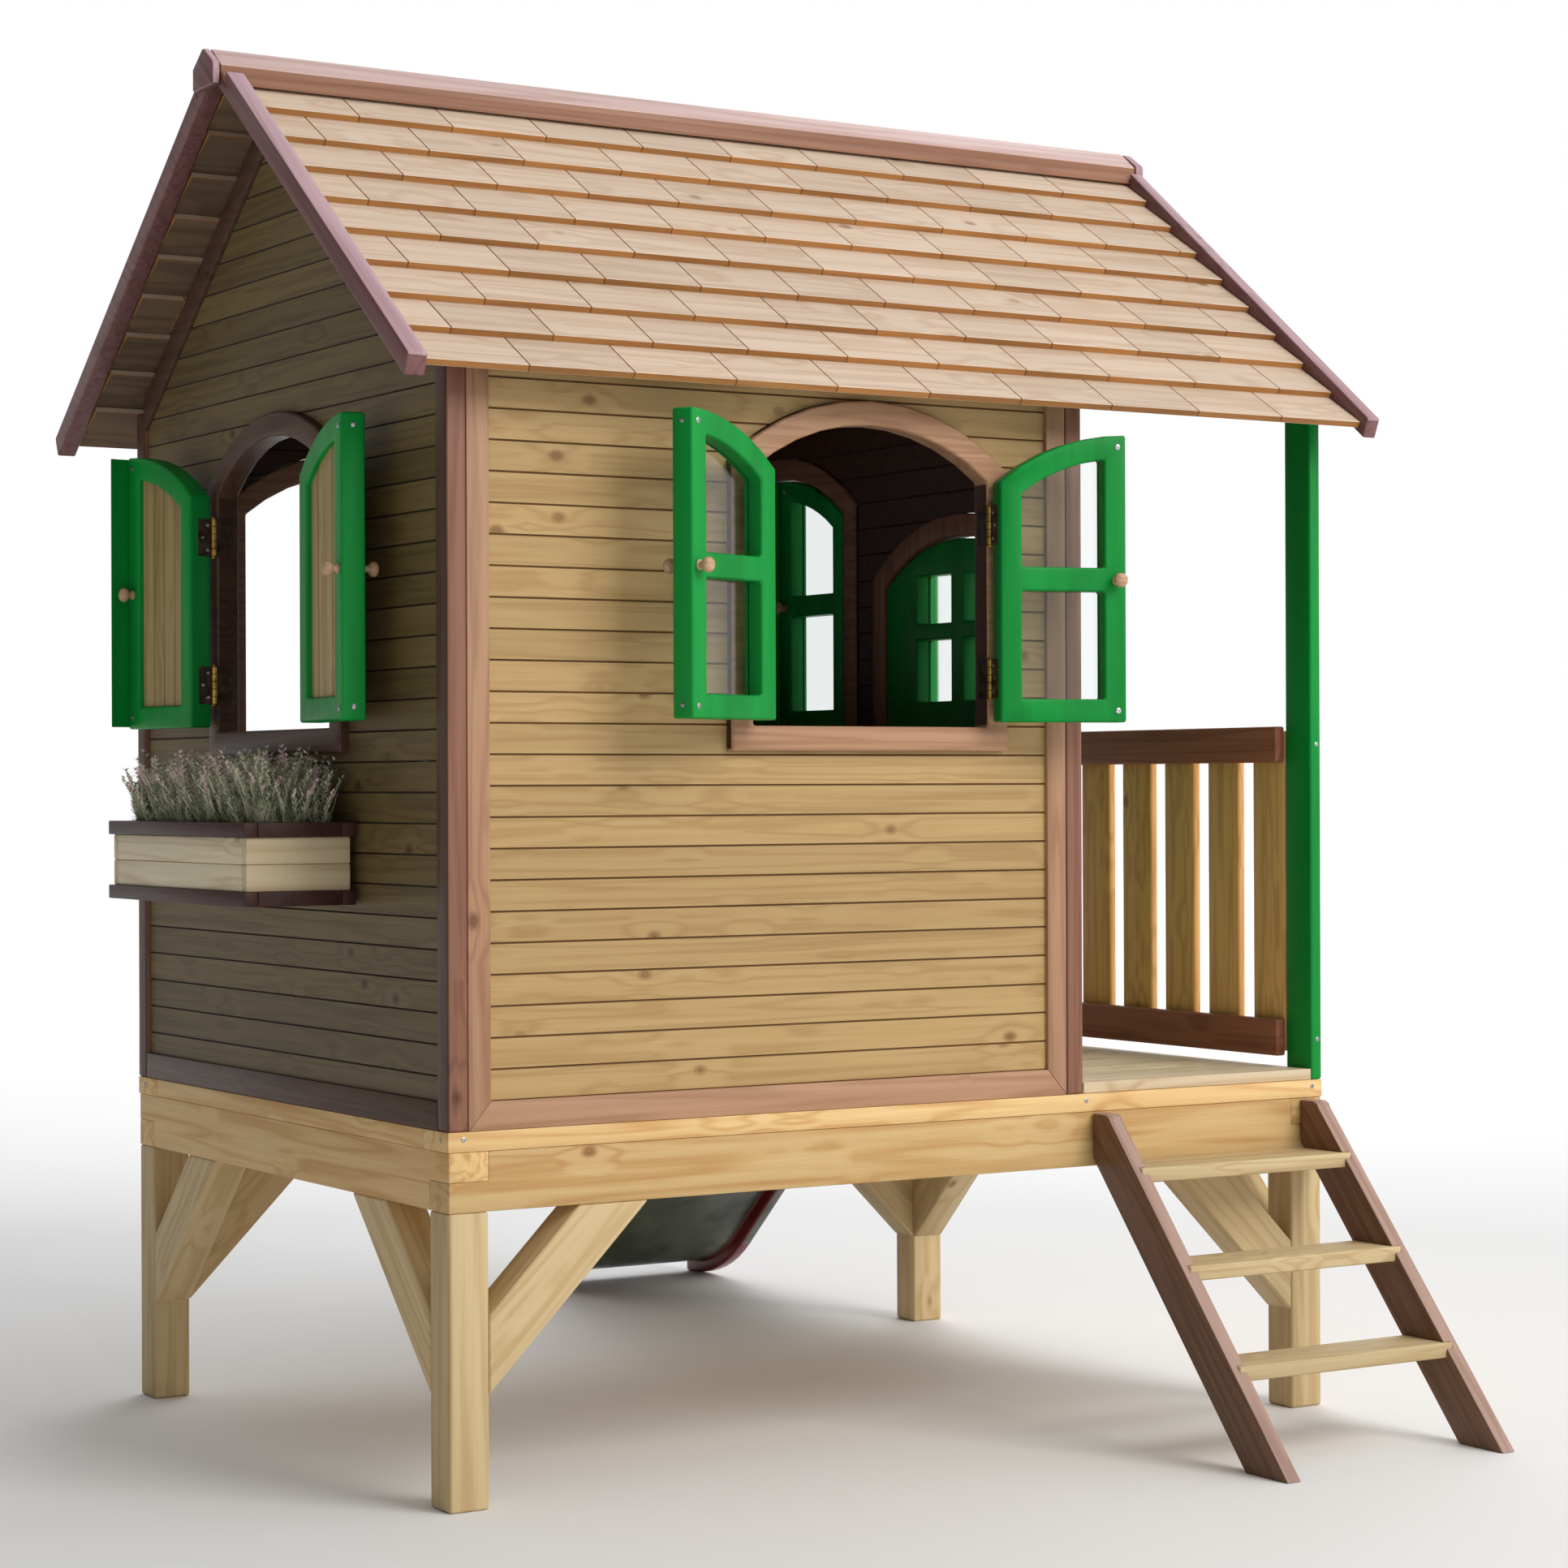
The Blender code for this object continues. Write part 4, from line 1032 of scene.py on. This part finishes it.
crumbs = earth.noise(earth.add("TexCoord").outputs["Object"], 240.0, 5.0, 0.7)
shade = earth.blend(earth.span(crumbs, 0.35, 0.7), colour(58, 44, 34), colour(104, 82, 62))
earth.feed(earth.shader.inputs["Base Color"], shade)
earth.shader.inputs["Roughness"].default_value = 0.95
bump = earth.add("Bump", Strength=0.8, Distance=0.003, Height=crumbs).outputs[0]
earth.feed(earth.shader.inputs["Normal"], bump)
settle(soil, "planter_soil", earth.material)


# Heather: six bushy plants in a row, each of many thin stems set all round with short scale
# leaves, grey green below and pale pink where they bloom. They root in the soil.
WHORLS = 17
LEAVES_ROUND = 3
STEM_FACES = 3


def sprig(height):
    """One stem with whorls of small leaves, as points and faces from its root."""
    points = []
    faces = []
    lean = Vector((chance.uniform(-0.35, 0.35), chance.uniform(-0.35, 0.35), 1))
    bend = Vector((chance.uniform(-0.3, 0.3), chance.uniform(-0.3, 0.3), 0))
    for i in range(WHORLS):
        t = (i + 1) / WHORLS
        spot = lean * (height * t) + bend * (height * t * t)
        spread = 0.0075 * (1.15 - t) + 0.0042
        turn = chance.uniform(0, math.tau)
        for k in range(LEAVES_ROUND):
            angle = turn + k * math.tau / LEAVES_ROUND
            out = Vector((math.cos(angle), math.sin(angle), 0.9)).normalized()
            side = Vector((-math.sin(angle), math.cos(angle), 0)) * 0.0023
            base = len(points)
            tip = spot + out * spread * 1.5
            points += [spot - side, spot + side, tip + side * 0.4, tip - side * 0.4]
            faces.append((base, base + 1, base + 2, base + 3))
    root = len(points)
    stem = 0.0012
    crown = lean * height + bend * height
    points += [Vector((stem, 0, 0)), Vector((-stem, stem, 0)), Vector((-stem, -stem, 0)), crown]
    for k in range(STEM_FACES):
        faces.append((root + k, root + (k + 1) % STEM_FACES, root + STEM_FACES))
    return points, faces


leaf_points = []
leaf_faces = []
SPRIGS = 900
PLANTS = 6
ROW = REAR_INSIDE - FRONT_INSIDE
for i in range(SPRIGS):
    clump = (i % PLANTS + 0.5) / PLANTS
    x = chance.uniform(LEFT_INSIDE + 0.012, RIGHT_INSIDE - 0.012)
    y = FRONT_INSIDE + ROW * min(max(clump + chance.gauss(0, 0.05), 0.03), 0.97)
    mound = 1 - 0.35 * abs(2 * (y - FRONT_INSIDE) / ROW * 3 % 2 - 1)
    points, faces = sprig(chance.uniform(0.095, 0.155) * mound)
    start = len(leaf_points)
    leaf_points += [point + Vector((x, y, SOIL_TOP - 0.004)) for point in points]
    leaf_faces += [tuple(start + index for index in face) for face in faces]
mesh = bpy.data.meshes.new("heather")
mesh.from_pydata(leaf_points, [], leaf_faces)
heather = bpy.data.objects.new("heather", mesh)
bpy.context.scene.collection.objects.link(heather)
shades = []
for i in range(SPRIGS):
    bloom = chance.uniform(0.2, 1.0)
    shades += [bloom * (k // LEAVES_ROUND / WHORLS) for k in range(WHORLS * LEAVES_ROUND)]
    shades += [0.0] * STEM_FACES
marks = heather.data.attributes.new("board", "FLOAT", "FACE")
marks.data.foreach_set("value", shades)
sprigs = Recipe("heather_leaf")
tone = sprigs.noise(sprigs.add("TexCoord").outputs["Object"], 36.0, 3.0, 0.6)
height_mark = sprigs.add("Attribute", {"attribute_name": "board"}).outputs["Fac"]
leafy = sprigs.blend(sprigs.span(tone, 0.35, 0.6), colour(150, 160, 124), colour(214, 212, 188))
leafy = sprigs.blend(sprigs.span(height_mark, 0.55, 0.75), leafy, colour(240, 212, 212))
sprigs.feed(sprigs.shader.inputs["Base Color"], leafy)
sprigs.shader.inputs["Roughness"].default_value = 0.8
settle(heather, "heather_sprigs", sprigs.material)


# Slide: one moulded chute in dark red plastic, glossy where it is sat on, with raised sides. Its
# hollow underside is painted grey green in streaks over a dark ground, a painted reflection of
# grass.
slide = planed("slide", 0.006, 3)
shell = Recipe("slide_plastic")
spot = shell.add("TexCoord").outputs["Object"]
cloud = shell.noise(spot, 3.0, 3.0, 0.6)
grain = shell.noise(spot, 900.0, 2.0, 0.5)
shade = shell.blend(shell.span(cloud, 0.35, 0.7), colour(120, 18, 22), colour(84, 10, 16))
shell.feed(shell.shader.inputs["Base Color"], shade)
shell.feed(shell.shader.inputs["Roughness"], shell.span(cloud, 0.2, 0.8, 0.22, 0.34))
bump = shell.add("Bump", Strength=0.12, Distance=0.0004, Height=grain).outputs[0]
shell.feed(shell.shader.inputs["Normal"], bump)
settle(slide, "slide_chute", shell.material, replaced=["slide"])
hollow = Recipe("slide_underside")
reflection_streaks = hollow.noise(hollow.add("TexCoord").outputs["Object"], 9.0, 4.0, 0.6)
shade = hollow.blend(hollow.span(reflection_streaks, 0.35, 0.7), colour(96, 104, 84), colour(44, 46, 38))
hollow.feed(hollow.shader.inputs["Base Color"], shade)
hollow.feed(hollow.shader.inputs["Roughness"], hollow.span(reflection_streaks, 0.2, 0.8, 0.15, 0.4))
darken(slide, hollow.material, lambda face: face.normal.z < -0.35 and face.area > 0.01)


# Screws: countersunk steel heads where the platform's edge boards are joined and where the
# railing is fixed to the veranda posts.
RAILING_SCREWS = 1.779
heads = []
for x in (0.027, HOUSE + 0.006, LENGTH - 0.024):
    for y, way in ((0, -1), (DEPTH, 1)):
        heads.append(screw(at(x, y, -0.012), (0, way, 0)))
for y in (0.027, DEPTH - 0.030):
    for x, way in ((0, -1), (LENGTH, 1)):
        heads.append(screw(at(x, y, -0.014), (way, 0, 0)))
for z in (0.074, 0.617):
    for y, way in ((0, -1), (DEPTH, 1)):
        heads.append(screw(at(RAILING_SCREWS, y, z), (0, way, 0)))
settle(together(heads), "screw_heads", screw_steel)
